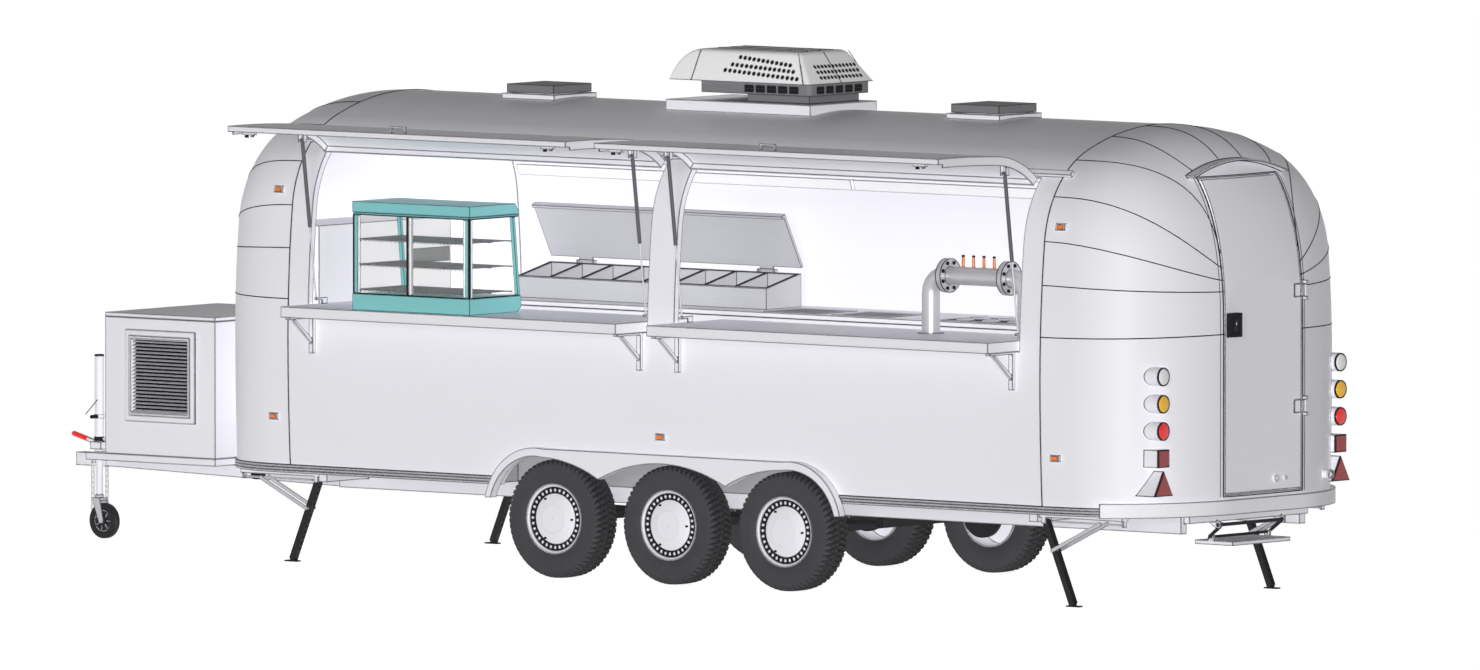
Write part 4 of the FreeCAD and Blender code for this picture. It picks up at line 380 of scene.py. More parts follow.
def mixed(tree, factor, first, second):
    """Two colours mixed by a factor."""
    made = add_node(tree, "ShaderNodeMix", data_type="RGBA")
    for number, value in ((0, factor), (6, first), (7, second)):
        socket = made.inputs[number]
        if isinstance(value, bpy.types.NodeSocket):
            tree.links.new(value, socket)
        else:
            socket.default_value = value
    return made.outputs[2]


# Leans of the rounded normal at which the painted shade along edges is full and where it ends.
EDGE_SHADE_FULL, EDGE_SHADE_NONE = 0.94, 0.992


def edge_shade_mask(tree, width):
    """One along edges and corners, for painted shade there: how far a rounded normal leans from the
    real one.
    """
    soft = add_node(tree, "ShaderNodeBevel", {"Radius": width}, samples=6)
    real = add_node(tree, "ShaderNodeNewGeometry")
    lean = add_node(
        tree, "ShaderNodeVectorMath",
        {0: soft.outputs["Normal"], 1: real.outputs["Normal"]}, operation="DOT_PRODUCT",
    )
    spread = add_node(
        tree, "ShaderNodeMapRange",
        {"Value": lean.outputs["Value"], "From Min": EDGE_SHADE_FULL, "From Max": EDGE_SHADE_NONE,
         "To Min": 1.0, "To Max": 0.0},
    )
    return spread.outputs["Result"]


def finish(name, colour, rough, mottle, mottle_scale, grain, grain_depth, edge, edge_shade_colour,
           bump=0.0002, metal=0.0, specular=0.15, clear=0.0):
    """A painted, moulded or brushed finish: broad mottling, fine grain and painted shade along the
    edges.
    """
    colour = tone(colour)
    material = bpy.data.materials.new(name)
    material.use_nodes = True
    tree = material.node_tree
    shader = tree.nodes["Principled BSDF"]
    place = add_node(tree, "ShaderNodeTexCoord").outputs["Object"]
    stretched = add_node(tree, "ShaderNodeMapping", {"Vector": place, "Scale": grain})
    fine = add_node(
        tree, "ShaderNodeTexNoise",
        {"Vector": stretched.outputs["Vector"], "Scale": 1.0, "Detail": 3.0, "Roughness": 0.6},
    )
    broad = add_node(
        tree, "ShaderNodeTexNoise",
        {"Vector": place, "Scale": mottle_scale, "Detail": 4.0, "Roughness": 0.55},
    )
    dark = tuple(c * (1 - mottle) for c in colour[:3]) + (1.0,)
    light = tuple(min(1.0, c * (1 + mottle)) for c in colour[:3]) + (1.0,)
    base = mixed(tree, broad.outputs["Fac"], dark, light)
    worn = tuple(c * (1 - 2 * grain_depth) for c in colour[:3]) + (1.0,)
    streak = add_node(
        tree, "ShaderNodeMapRange",
        {"Value": fine.outputs["Fac"], "From Min": 0.35, "From Max": 0.7, "To Max": 0.6},
    )
    base = mixed(tree, streak.outputs["Result"], base, worn)
    # Painted shade: edges and corners are darkened towards the edge shade colour.
    if edge:
        base = mixed(tree, edge_shade_mask(tree, edge), base, tone(edge_shade_colour))
    tree.links.new(base, shader.inputs["Base Color"])
    sheen = add_node(
        tree, "ShaderNodeMapRange",
        {"Value": fine.outputs["Fac"], "To Min": rough - 0.05, "To Max": rough + 0.07},
    )
    tree.links.new(sheen.outputs["Result"], shader.inputs["Roughness"])
    relief = add_node(
        tree, "ShaderNodeBump",
        {"Height": fine.outputs["Fac"], "Strength": 0.6, "Distance": bump},
    )
    tree.links.new(relief.outputs["Normal"], shader.inputs["Normal"])
    shader.inputs["Metallic"].default_value = metal
    shader.inputs["Specular IOR Level"].default_value = specular
    shader.inputs["Coat Weight"].default_value = clear
    return material


GLASS_TINT, GLASS_SHINE = (253, 253, 250), 0.012


def glass(name):
    """Thin clear panes: mostly see-through, with a faint tint, smears and a soft shine."""
    material = bpy.data.materials.new(name)
    material.use_nodes = True
    tree = material.node_tree
    tree.nodes.remove(tree.nodes["Principled BSDF"])
    out = tree.nodes["Material Output"]
    place = add_node(tree, "ShaderNodeTexCoord").outputs["Object"]
    smear = add_node(tree, "ShaderNodeTexNoise", {"Vector": place, "Scale": 9.0, "Detail": 4.0})
    tinted = mixed(tree, smear.outputs["Fac"], tone(GLASS_TINT), (1.0, 1.0, 1.0, 1.0))
    clear = add_node(tree, "ShaderNodeBsdfTransparent", {"Color": tinted})
    shine = add_node(tree, "ShaderNodeBsdfGlossy",
                     {"Color": (0.9, 0.95, 0.95, 1.0), "Roughness": 0.08})
    spread = add_node(
        tree, "ShaderNodeMapRange",
        {"Value": smear.outputs["Fac"], "To Min": GLASS_SHINE * 0.6,
         "To Max": GLASS_SHINE * 1.4},
    )
    both = add_node(
        tree, "ShaderNodeMixShader",
        {"Fac": spread.outputs["Result"], 1: clear.outputs["BSDF"], 2: shine.outputs["BSDF"]},
    )
    tree.links.new(both.outputs["Shader"], out.inputs["Surface"])
    return material


def sizes():
    """The sizes set in the sidebar."""
    return bpy.context.scene.trailer_sizes


# Each row has the colour, roughness, mottling and its scale, grain and its depth, and the
# width and colour of the painted shade along the edges, and then, where they differ from the
# usual, bump, metal, specular and clear coat. A name in place of a colour is one of the sidebar's.
LENS = (0.25, 0.06, 40, (30, 500, 30), 0.04, 0, None, 0.0006, 0, 0.5, 0.4)
FINISHES = {
    "Shell paint": ("shell", 0.42, 0.015, 1.3, (90, 90, 90), 0.008, 0.013, "seam"),
    "White fittings": ("shell", 0.5, 0.02, 5, (160, 160, 160), 0.01, 0.013, "seam"),
    "White plastic": (
        (250, 250, 251), 0.55, 0.02, 6, (300, 300, 300), 0.015, 0.01, "seam", 0.0004),
    "White laminate": ((228, 227, 231), 0.5, 0.02, 2.5, (3, 60, 60), 0.012, 0.013, "seam"),
    "Light diffuser": ((240, 240, 240), 0.5, 0.02, 20, (6, 200, 200), 0.02, 0.01, "seam"),
    # This black is real sealant and black parts, and also painted shade behind the louvre and in
    # the cooler's slots and holes.
    "Black sealant": ("seam", 0.7, 0.2, 20, (60, 60, 60), 0.02, 0, None),
    "Black coated steel": (
        (40, 40, 42), 0.5, 0.12, 12, (220, 220, 220), 0.06, 0.006, (12, 12, 13)),
    "Dark grey plastic": (
        (122, 122, 124), 0.6, 0.06, 8, (260, 260, 260), 0.03, 0.01, (20, 20, 22)),
    "Tyre rubber": ("rubber", 0.78, 0.12, 9, (45, 400, 45), 0.05, 0.007, (14, 14, 15), 0.0006),
    "Zinc plate": (
        (196, 197, 201), 0.42, 0.08, 22, (30, 30, 300), 0.04, 0.007, (30, 30, 32), 0.0002, 0.5),
    "Galvanised links": (
        (212, 213, 216), 0.45, 0.1, 60, (200, 200, 200), 0.05, 0, None, 0.0002, 0.2),
    "Brushed steel": (
        (194, 194, 198), 0.45, 0.03, 4, (4, 260, 260), 0.04, 0.01, (26, 26, 28), 0.0003, 0.1),
    "Pipe steel": (
        "pipe", 0.36, 0.04, 5, (8, 220, 220), 0.05, 0.01, (14, 14, 15), 0.0002, 0.45),
    "Strut enamel": ((92, 92, 95), 0.35, 0.05, 14, (300, 300, 20), 0.03, 0.002, (18, 18, 20)),
    "Teal enamel": ("case", 0.38, 0.02, 5, (140, 140, 140), 0.01, 0.01, (16, 44, 46)),
    "Copper": ("tap", 0.35, 0.1, 40, (400, 400, 60), 0.05, 0.002, (60, 28, 12), 0.0002, 0.5),
    "Engine grey": ((120, 120, 122), 0.6, 0.1, 16, (60, 60, 60), 0.05, 0.013, (25, 25, 27)),
    "Floor sheet": (
        (168, 168, 172), 0.6, 0.08, 6, (120, 120, 120), 0.04, 0.013, (40, 40, 42), 0.0008),
    "Clear lens": ((236, 238, 238), *LENS),
    "Amber lens": ("amber", *LENS),
    "Red lens": ("red", *LENS),
    "Reflector red": ("dark_red", *LENS),
    "Marker lens": ("marker", *LENS),
    "Grip red": ("red", *LENS),
}
MADE = {}


def painted(name):
    """The finish of that name, made once."""
    if name not in MADE:
        MADE[name] = glass(name) if name == "Case glass" else finish(name, *FINISHES[name])
    return MADE[name]


NODE_FINISHES = (
    ("Case glass", ("display_glass",)),
    ("Shell paint", ("centre_shell", "rear_cap", "front_cap", "door", "skirt_trim", "hatch_",
                     "bumper", "generator_box", "generator_lid", "counter_", "chassis")),
    ("Floor sheet", ("floor",)),
    ("Black coated steel", ("axles", "steady_leg_", "jockey_wheel", "step_arms")),
    ("Tyre rubber", ("tyre_",)),
    ("White fittings", ("wheel_", "lamps", "jockey_leg", "coupling", "vent_frames",
                        "step_tread")),
    ("Galvanised links", ("safety_chains",)),
    ("Dark grey plastic", ("cooler_base", "vent_lid_")),
    ("White plastic", ("cooler_cover",)),
    ("Engine grey", ("generator_block",)),
    ("Strut enamel", ("strut_tubes_",)),
    ("Zinc plate", ("strut_rods_", "steady_brace_", "jockey_fork")),
    ("Teal enamel", ("display_case",)),
    ("White laminate", ("back_counter",)),
    ("Brushed steel", ("prep_unit", "prep_lid")),
    ("Pipe steel", ("tap_tower",)),
    ("Light diffuser", ("light_bars",)),
)


def finish_for(name):
    """The finish of a solid, by the start of its name."""
    for kind, starts in NODE_FINISHES:
        if name.startswith(starts):
            return painted(kind)
    raise RuntimeError(f"no finish is set for {name}")


# Sizes and colours that a user would change


class TrailerColours(bpy.types.PropertyGroup):
    """Colours of the trailer's finishes."""

    shell: bpy.props.FloatVectorProperty(
        name="Shell", description="Paint of the body and its white parts", subtype="COLOR",
        size=3, min=0, max=1, default=shade(234, 233, 238)[:3])
    # Seams is also the colour of the painted shade along the edges of the white finishes.
    seam: bpy.props.FloatVectorProperty(
        name="Seams", description="Sealant in the joints between panels", subtype="COLOR",
        size=3, min=0, max=1, default=shade(26, 26, 30)[:3])
    case: bpy.props.FloatVectorProperty(
        name="Display case", description="Enamel of the glazed case", subtype="COLOR",
        size=3, min=0, max=1, default=shade(132, 198, 200)[:3])
    rubber: bpy.props.FloatVectorProperty(
        name="Tyres", description="Rubber of the road tyres", subtype="COLOR",
        size=3, min=0, max=1, default=shade(70, 70, 72)[:3])
    pipe: bpy.props.FloatVectorProperty(
        name="Tap tower", description="Steel of the bent pipe", subtype="COLOR",
        size=3, min=0, max=1, default=shade(196, 196, 198)[:3])
    tap: bpy.props.FloatVectorProperty(
        name="Taps", description="Copper of the taps", subtype="COLOR",
        size=3, min=0, max=1, default=shade(190, 116, 74)[:3])
    amber: bpy.props.FloatVectorProperty(
        name="Amber lenses", description="Turn and marker lamps", subtype="COLOR",
        size=3, min=0, max=1, default=shade(250, 190, 10)[:3])
    marker: bpy.props.FloatVectorProperty(
        name="Side markers", description="Marker lamps along the sides", subtype="COLOR",
        size=3, min=0, max=1, default=shade(238, 124, 30)[:3])
    red: bpy.props.FloatVectorProperty(
        name="Red lenses", description="Tail lamps", subtype="COLOR",
        size=3, min=0, max=1, default=shade(250, 14, 10)[:3])
    dark_red: bpy.props.FloatVectorProperty(
        name="Reflectors", description="Square lamps and triangular reflectors",
        subtype="COLOR", size=3, min=0, max=1, default=shade(150, 4, 4)[:3])


class TrailerSizes(bpy.types.PropertyGroup):
    """Sizes and counts of the fine pieces."""

    seam_radius: bpy.props.FloatProperty(
        name="Seam radius", description="Half the width of a bead of sealant",
        unit="LENGTH", min=0.001, max=0.01, default=0.0032)
    tread_depth: bpy.props.FloatProperty(
        name="Tread depth", description="Depth of the grooves in the tyres",
        unit="LENGTH", min=0.002, max=0.014, default=0.01)
    tread_lugs: bpy.props.IntProperty(
        name="Tread lugs", description="Lugs round each tyre", min=24, max=90, default=60)
    wheel_slots: bpy.props.IntProperty(
        name="Wheel slots", description="Slots in the ring of each wheel",
        min=8, max=48, default=32)


class TrailerStage(bpy.types.PropertyGroup):
    """Light and floor of the stage."""

    key: bpy.props.FloatProperty(
        name="Key light", description="Sunlight that casts shadows", min=0, max=10,
        default=0.5)
    fill: bpy.props.FloatProperty(
        name="Fill light", description="Even light from the camera's side", min=0, max=10,
        default=2.3)
    sides: bpy.props.FloatProperty(
        name="Side lights", description="Even light on the front and the far side", min=0,
        max=10, default=1.35)
    sky: bpy.props.FloatProperty(
        name="Sky", description="Light of the surroundings", min=0, max=2, default=0.1)
    floor: bpy.props.FloatProperty(
        name="Floor", description="Side of the square floor", unit="LENGTH", min=20,
        max=2000, default=700.0)


# Body


class TRAILER_OT_finishes(bpy.types.Operator):
    """Give every solid of the trailer its finish"""

    bl_idname = "trailer.finishes"
    bl_label = "Finishes of the solids"

    def execute(self, context):
        for name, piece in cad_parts.items():
            piece.data.materials.clear()
            piece.data.materials.append(finish_for(name))
        return {"FINISHED"}


SEAM_STARTS = (2.549, 2.435, 2.243, 2.002, 1.764, 1.48)
SEAM_ENDS = (2.368, 1.934, 1.851, 1.784, 1.723, 1.49)
SEAM_POWERS = (1.8, 2.6, 2.0, 1.5, 1.0, 1.0)
SEAM_CORE = np.array([1.6, 0, CAP_POLE])
TOP_SEAM_START, TOP_SEAM_END, TOP_SEAM_LOW = 0.115, 0.1, 2.43
BROW_HALF, BROW_FOOT, BROW_RISE = 0.42, 2.341, 0.077


def end_seam(start, end, power, count=40):
    """Path of a seam on the rear end: the turn grows evenly, the height by a power of it."""
    last = cap_turn(DOOR_HALF, end)[0]
    share = np.linspace(0, 1, count)
    z = start + (end - start) * share ** power
    scale = cap_shape(share * last)[1]
    return cap_point(share * last, np.where(z > CAP_POLE, CAP_POLE + (z - CAP_POLE) / scale, z))


def top_seam(start, end, low, count=90):
    """Path of a seam over the top of the rear end, from the ring down to a height.

    Its side distance runs from start to end as the reach does, so the cross-section's half
    width there is that distance / scale.
    """
    turn = np.linspace(0, 0.99 * math.pi / 2, count)
    reach, scale = cap_shape(turn)
    widths = (start + (end - start) * reach) / scale
    upper = SECTION[:np.argmax(SECTION[:, 0]) + 1]
    path = cap_point(turn, np.interp(widths, upper[:, 0], upper[:, 1]))
    return path[path[:, 2] > low]


def brow_line(lift, count=41):
    """Path on the rear end along the rain brow, a parabola over the doorway."""
    across = np.linspace(-BROW_HALF, BROW_HALF, count)
    heights = BROW_FOOT + lift + BROW_RISE * (1 - (across / BROW_HALF) ** 2)
    return np.array([end_point(y, z) for y, z in zip(across, heights)])


def ring_seam(x):
    """Path of the seam round the whole cross-section at one X: its line and the mirror."""
    half = np.column_stack([np.full(len(SECTION), x), SECTION])
    half = half[np.concatenate([[True], np.linalg.norm(np.diff(half, axis=0), axis=1) > 1e-6])]
    other = half[:0:-1] * (1, -1, 1)
    return np.concatenate([other, half])


class TRAILER_OT_seams(bpy.types.Operator):
    """Beads of sealant in the joints of the rounded ends and round the body"""

    bl_idname = "trailer.seams"
    bl_label = "Shell seams"

    def execute(self, context):
        bead = circle(sizes().seam_radius, 6)
        surfaces = []
        for start, end, power in zip(SEAM_STARTS, SEAM_ENDS, SEAM_POWERS):
            path = end_seam(start, end, power)
            seam = carried(path, bead, path - SEAM_CORE)
            surfaces += both_sides(both_sides([seam]), 0)
        path = top_seam(TOP_SEAM_START, TOP_SEAM_END, TOP_SEAM_LOW)
        surfaces += both_sides([carried(path, bead, path - SEAM_CORE)])
        for lift in (-0.001, 0.013):
            path = brow_line(lift)
            surfaces.append(carried(path, bead, path - SEAM_CORE))
        for x in (-SEAM_X, SEAM_X):
            surfaces.append(carried(ring_seam(x), bead, (1.0, 0, 0)))
        build("shell_seams", surfaces, ["Black sealant"])
        return {"FINISHED"}


# Wheels


TYRE_HALF, TYRE_RADIUS = 0.0925, 0.33


def tyre_profile():
    """Radius and depth across a tyre: seat, sidewall, shoulder, tread and back again.

    The tread's radius falls from the middle by a square of the distance.
    """
    outer = np.array([
        (0.1863, 0.025), (0.1995, 0.0172), (0.206, 0.0125), (0.225, 0.0045), (0.2455, 0.0012),
        (0.268, 0.0002), (0.29, 0.0016), (0.306, 0.0055), (0.3155, 0.0105), (0.3225, 0.0165),
        (0.3265, 0.0225),
    ])
    middle = np.linspace(0.028, 0.157, 24)
    crown = TYRE_RADIUS - 0.0022 * ((middle - TYRE_HALF) / 0.0645) ** 2
    inner = outer[::-1] * (1, -1) + (0, 2 * TYRE_HALF)
    return np.concatenate([outer, np.column_stack([crown, middle]), inner])


def tyre_points(lugs, depth):
    """Points of a tyre about the Y axis: the profile's radius less the tread's grooves.

    A groove is cut where the lug count times the turn, leant over by the distance from
    the tread's middle, falls in the first third of a lug, and along two lines each side.
    The middle rib has one narrower cut a lug.
    """
    profile = tyre_profile()
    rib, count = 0.022, lugs * 7
    turn = np.arange(count) * 2 * math.pi / count
    radius, y = profile[None, :, 0], profile[None, :, 1]
    off = np.abs(y - TYRE_HALF)
    lean = off / TYRE_HALF * 1.15 + np.where(y > TYRE_HALF, 0.5, 0.0)
    phase = (lugs * turn[:, None] / (2 * math.pi) + lean) % 1.0
    cross = (phase < 0.3).astype(float)
    around = ((off > rib) & (off < 0.028)) | ((off > 0.047) & (off < 0.052))
    cross = np.where(off < rib, (((phase * 2 + 0.4) % 2) < 0.34).astype(float), cross)
    share = np.clip((radius - 0.302) / 0.02, 0, 1)
    cut = depth * share * np.maximum(cross, around.astype(float) * (radius > 0.32))
    reach = radius - cut
    return np.stack(
        [reach * np.cos(turn)[:, None], np.broadcast_to(y, reach.shape),
         reach * np.sin(turn)[:, None]], -1,
    )


def wheel_places():
    """Name, middle of the outer face and inward direction of every wheel."""
    spots = []
    for spot, x in zip(("front", "middle", "rear"), AXLES):
        for side, sign in (("near", -1), ("far", 1)):
            spots.append((f"{spot}_{side}", np.array([x, sign * WHEEL_FACE, AXLE_Z]), -sign))
    return spots


def on_wheel(surface, centre, inward):
    """Carry a surface built about the Y axis, outer face at zero, to a wheel."""
    if inward < 0:
        surface = mirrored(surface, 1)
    return moved(surface, centre)


class TRAILER_OT_tyres(bpy.types.Operator):
    """Road tyres with rounded sidewalls and a lugged tread"""

    bl_idname = "trailer.tyres"
    bl_label = "Tyres"

    def execute(self, context):
        points = tyre_points(sizes().tread_lugs, sizes().tread_depth)
        surface = grid(points, wrap_rows=True, wrap_columns=True)
        for name, centre, inward in wheel_places():
            build(f"lugged_tyre_{name}", [on_wheel(surface, centre, inward)], ["Tyre rubber"],
                  body=f"{name}_wheel", sharp=28, hides=[f"tyre_{name}"])
        return {"FINISHED"}


def slotted_ring(count):
    """A dark ring with pale slots, its edges beads, and the three screws of the dome.

    A slot is an ellipse, and its point is slot circle + 10.5 mm * sine outwards and
    8.2 mm * cosine along the circle, turned about the axis by the slot's place.
    """
    face, slot_circle, screw_circle = 0.0262, 0.1592, 0.1255
    ring = [(0.1405, 0.0285), (0.1405, face), (0.1425, face - 0.0012),
            (0.1755, face - 0.0012), (0.1775, face), (0.1775, 0.0285)]
    surfaces = [turned(ring, (0, 0, 0), (0, 1, 0), 96)]
    turn = np.arange(count) * 2 * math.pi / count
    around = np.linspace(0, 2 * math.pi, 11)[:-1]
    slot_r = slot_circle + 0.0105 * np.sin(around)
    slot_t = 0.0082 * np.cos(around)
    cosine, sine = np.cos(turn)[:, None], np.sin(turn)[:, None]
    x = slot_r * cosine - slot_t * sine
    z = slot_r * sine + slot_t * cosine
    low = np.stack([x, np.full_like(x, face), z], -1)
    high = np.stack([x, np.full_like(x, face - 0.0026), z], -1)
    middle = np.stack([slot_circle * cosine + 0 * x, np.full_like(x, face - 0.0026),
                       slot_circle * sine + 0 * x], -1)
    for one in range(count):
        points = np.stack([low[one], high[one], middle[one]])
        surfaces.append(grid(points, wrap_columns=True, coat=1))
    head = [(0, 0.0058), (0.0042, 0.006), (0.0062, 0.0082), (0.0062, 0.02)]
    for x, z in circle(screw_circle, 3):
        surfaces.append(turned(head, (x, 0.0, z), (0, 1, 0), 14))
    return surfaces


class TRAILER_OT_wheel_rings(bpy.types.Operator):
    """Slotted ring round the dome of each wheel, with its screws"""

    bl_idname = "trailer.wheel_rings"
    bl_label = "Wheel rings"

    def execute(self, context):
        surfaces = slotted_ring(sizes().wheel_slots)
        for name, centre, inward in wheel_places():
            parts = [on_wheel(one, centre, inward) for one in surfaces]
            build(f"wheel_ring_{name}", parts, ["Black sealant", "White fittings"],
                  body=f"{name}_wheel")
        return {"FINISHED"}


# Lamps


def lens_disc(centre, radius, coat):
    """A shallow dome of lens, radius * sine and height * cosine, in a dark rim."""
    share = np.linspace(0, 1, 8)
    dome = np.column_stack([radius * 0.86 * np.sin(share * math.pi / 2),
                            0.004 + 0.009 * np.cos(share * math.pi / 2)])
    rim = np.array([(radius * 0.87, 0.003), (radius * 0.88, 0.0065), (radius * 0.98, 0.0065),
                    (radius, 0.004), (radius, -0.004)])
    return [turned(dome, centre, (1, 0, 0), 40, coat),
            turned(rim, centre, (1, 0, 0), 40, 0)]


def lens_plate(corners, middle, x, coat):
    """A flat lens with a bevelled edge in a dark rim, from its corners in Y and Z.

    Point = middle + scale * (corner - middle), at a height for each scale.
    """
    corners, middle = np.asarray(corners, float), np.asarray(middle, float)
    rings = []
    for scale, height in ((1.0, -0.004), (1.0, 0.004), (0.95, 0.007), (0.88, 0.007)):
        rings.append(np.column_stack([np.full(len(corners), x + height),
                                      middle + (corners - middle) * scale]))
    inner = []
    for scale, height in ((0.88, 0.004), (0.84, 0.009), (0.0, 0.0105)):
        inner.append(np.column_stack([np.full(len(corners), x + height),
                                      middle + (corners - middle) * scale]))
    return [grid(np.stack(rings), wrap_columns=True, coat=0),
            grid(np.stack(inner), wrap_columns=True, coat=coat)]


def marker_lens(x, z, sign, long_half=0.02, tall_half=0.013, proud=0.014, colour=6):
    """A rounded lens on the side at one X and height, that follows the body's side.

    Its Y is the body's plus a lift, which is the power 0.35 of (1 - u^6) * (1 - v^6), with
    u and v from -1 to 1 across the lens.
    """
    u, v = np.meshgrid(np.linspace(-1, 1, 13), np.linspace(-1, 1, 9), indexing="ij")
    reach = np.clip(np.abs(x) + u * long_half - SEAM_X, 0, None) / CAP_LONG
    scale = np.cos(np.arcsin(reach ** (CAP_POWER / 2))) ** (2 / CAP_POWER)
    height = z + v * tall_half
    section = np.where(height > CAP_POLE, CAP_POLE + (height - CAP_POLE) / scale, height)
    y = section_y(section) * scale
    lift = proud + 0.012 * ((1 - np.abs(u) ** 6) * (1 - np.abs(v) ** 6)) ** 0.35
    side = -1 if x < 0 else 1
    long = (np.abs(x) + u * long_half) * side if x else u * long_half
    return grid(np.stack([long, sign * (y + lift), height], -1), coat=colour)


class TRAILER_OT_lamps(bpy.types.Operator):
    """Lenses of the rear lamps and the side markers"""

    bl_idname = "trailer.lamps"
    bl_label = "Lamp lenses"

    def execute(self, context):
        face, top, pitch = 3.31, 1.277, 0.149
        radius, square, long = 0.0515, 0.049, 0.16
        surfaces = []
        for y in (-0.792, 0.792):
            for i, colour in enumerate((1, 3, 4)):
                surfaces += lens_disc((face, y, top - i * pitch), radius, colour)
            z = top - 3 * pitch
            corners = [(y - square, z - square), (y + square, z - square),
                       (y + square, z + square), (y - square, z + square)]
            surfaces += lens_plate(corners, (y, z), face, 5)
            foot = top - 4 * pitch - long * 0.36
            corners = [(y - long / 2, foot), (y + long / 2, foot), (y, foot + long * 0.866)]
            surfaces += lens_plate(corners, (y, foot + 0.0462), face, 5)
        finishes = ["Black sealant", "Clear lens", "White fittings", "Amber lens", "Red lens",
                    "Reflector red", "Marker lens"]
        build("lamp_lenses", surfaces, finishes)
        markers = []
        for x, z in ((-2.765, 2.086), (-2.765, 0.822), (2.765, 2.086), (2.765, 0.822),
                     (0.0, 0.822)):
            for sign in (-1, 1):
                markers.append(marker_lens(x, z, sign))
                markers.append(marker_lens(x, z, sign, 0.027, 0.019, 0.006, 0))
        build("marker_lenses", markers, finishes)
        return {"FINISHED"}


# Roof cooler

TRAY_TOP, COVER_TALL = 2.745, 0.173
COVER_HALF, COVER_LEAN, COVER_REAR, REAR_LEAN = 0.29, 0.07, 0.443, 0.134


def rounded_ring(front, rear, half, radius, count=8):
    """Outline with rounded corners between two X and two Y: four quarter circles."""
    turn = np.linspace(0, math.pi / 2, count)
    spots = []
    for i, (x, y) in enumerate(((rear - radius, half - radius), (front + radius, half - radius),
                                (front + radius, radius - half), (rear - radius, radius - half))):
        lean = turn + i * math.pi / 2
        spots.append(np.column_stack([x + radius * np.cos(lean), y + radius * np.sin(lean)]))
    return np.concatenate(spots)


def cover_ring(share):
    """Outline of the cooler's cover at a share of its height.

    The front follows a quarter ellipse, the other sides lean in evenly, and all of them
    turn in by a quarter circle near the top.
    """
    top = max(0.0, (share - 0.88) / 0.12)
    tuck = 0.02 * (1 - math.sqrt(1 - top ** 2))
    front = -0.379 - 0.178 * math.sqrt(1 - share ** 2)
    ring = rounded_ring(front, COVER_REAR - REAR_LEAN * share - tuck,
                        COVER_HALF - COVER_LEAN * share - tuck, 0.02 + 0.02 * share)
    return np.column_stack([ring, np.full(len(ring), TRAY_TOP + COVER_TALL * share)])


def cover_hole_shade():
    """Black discs of painted shade for round holes in rows on the near, far and rear sides of the
    cover.
    """
    near, rear = (0, -COVER_TALL, COVER_LEAN), (COVER_TALL, 0, REAR_LEAN)
    profile = [(0, 0.0008), (0.0102, 0.0008), (0.0115, 0.0), (0.0115, -0.002)]
    side = []
    for count, first, last in ((16, (-0.172, 0.366), (0.345, 0.176)),
                               (14, (-0.13, 0.549), (0.307, 0.397)),
                               (12, (-0.086, 0.789), (0.275, 0.597))):
        for x, share in np.linspace(first, last, count):
            spot = (x, COVER_LEAN * share - COVER_HALF, TRAY_TOP + COVER_TALL * share)
            side.append(turned(profile, spot, near, 12, 1))
    back = []
    for share in (0.2, 0.37, 0.54):
        for y in np.linspace(-0.15, 0.2, 12):
            spot = (COVER_REAR - REAR_LEAN * share, y, TRAY_TOP + COVER_TALL * share)
            back.append(turned(profile, spot, rear, 12, 1))
    return both_sides(side) + back


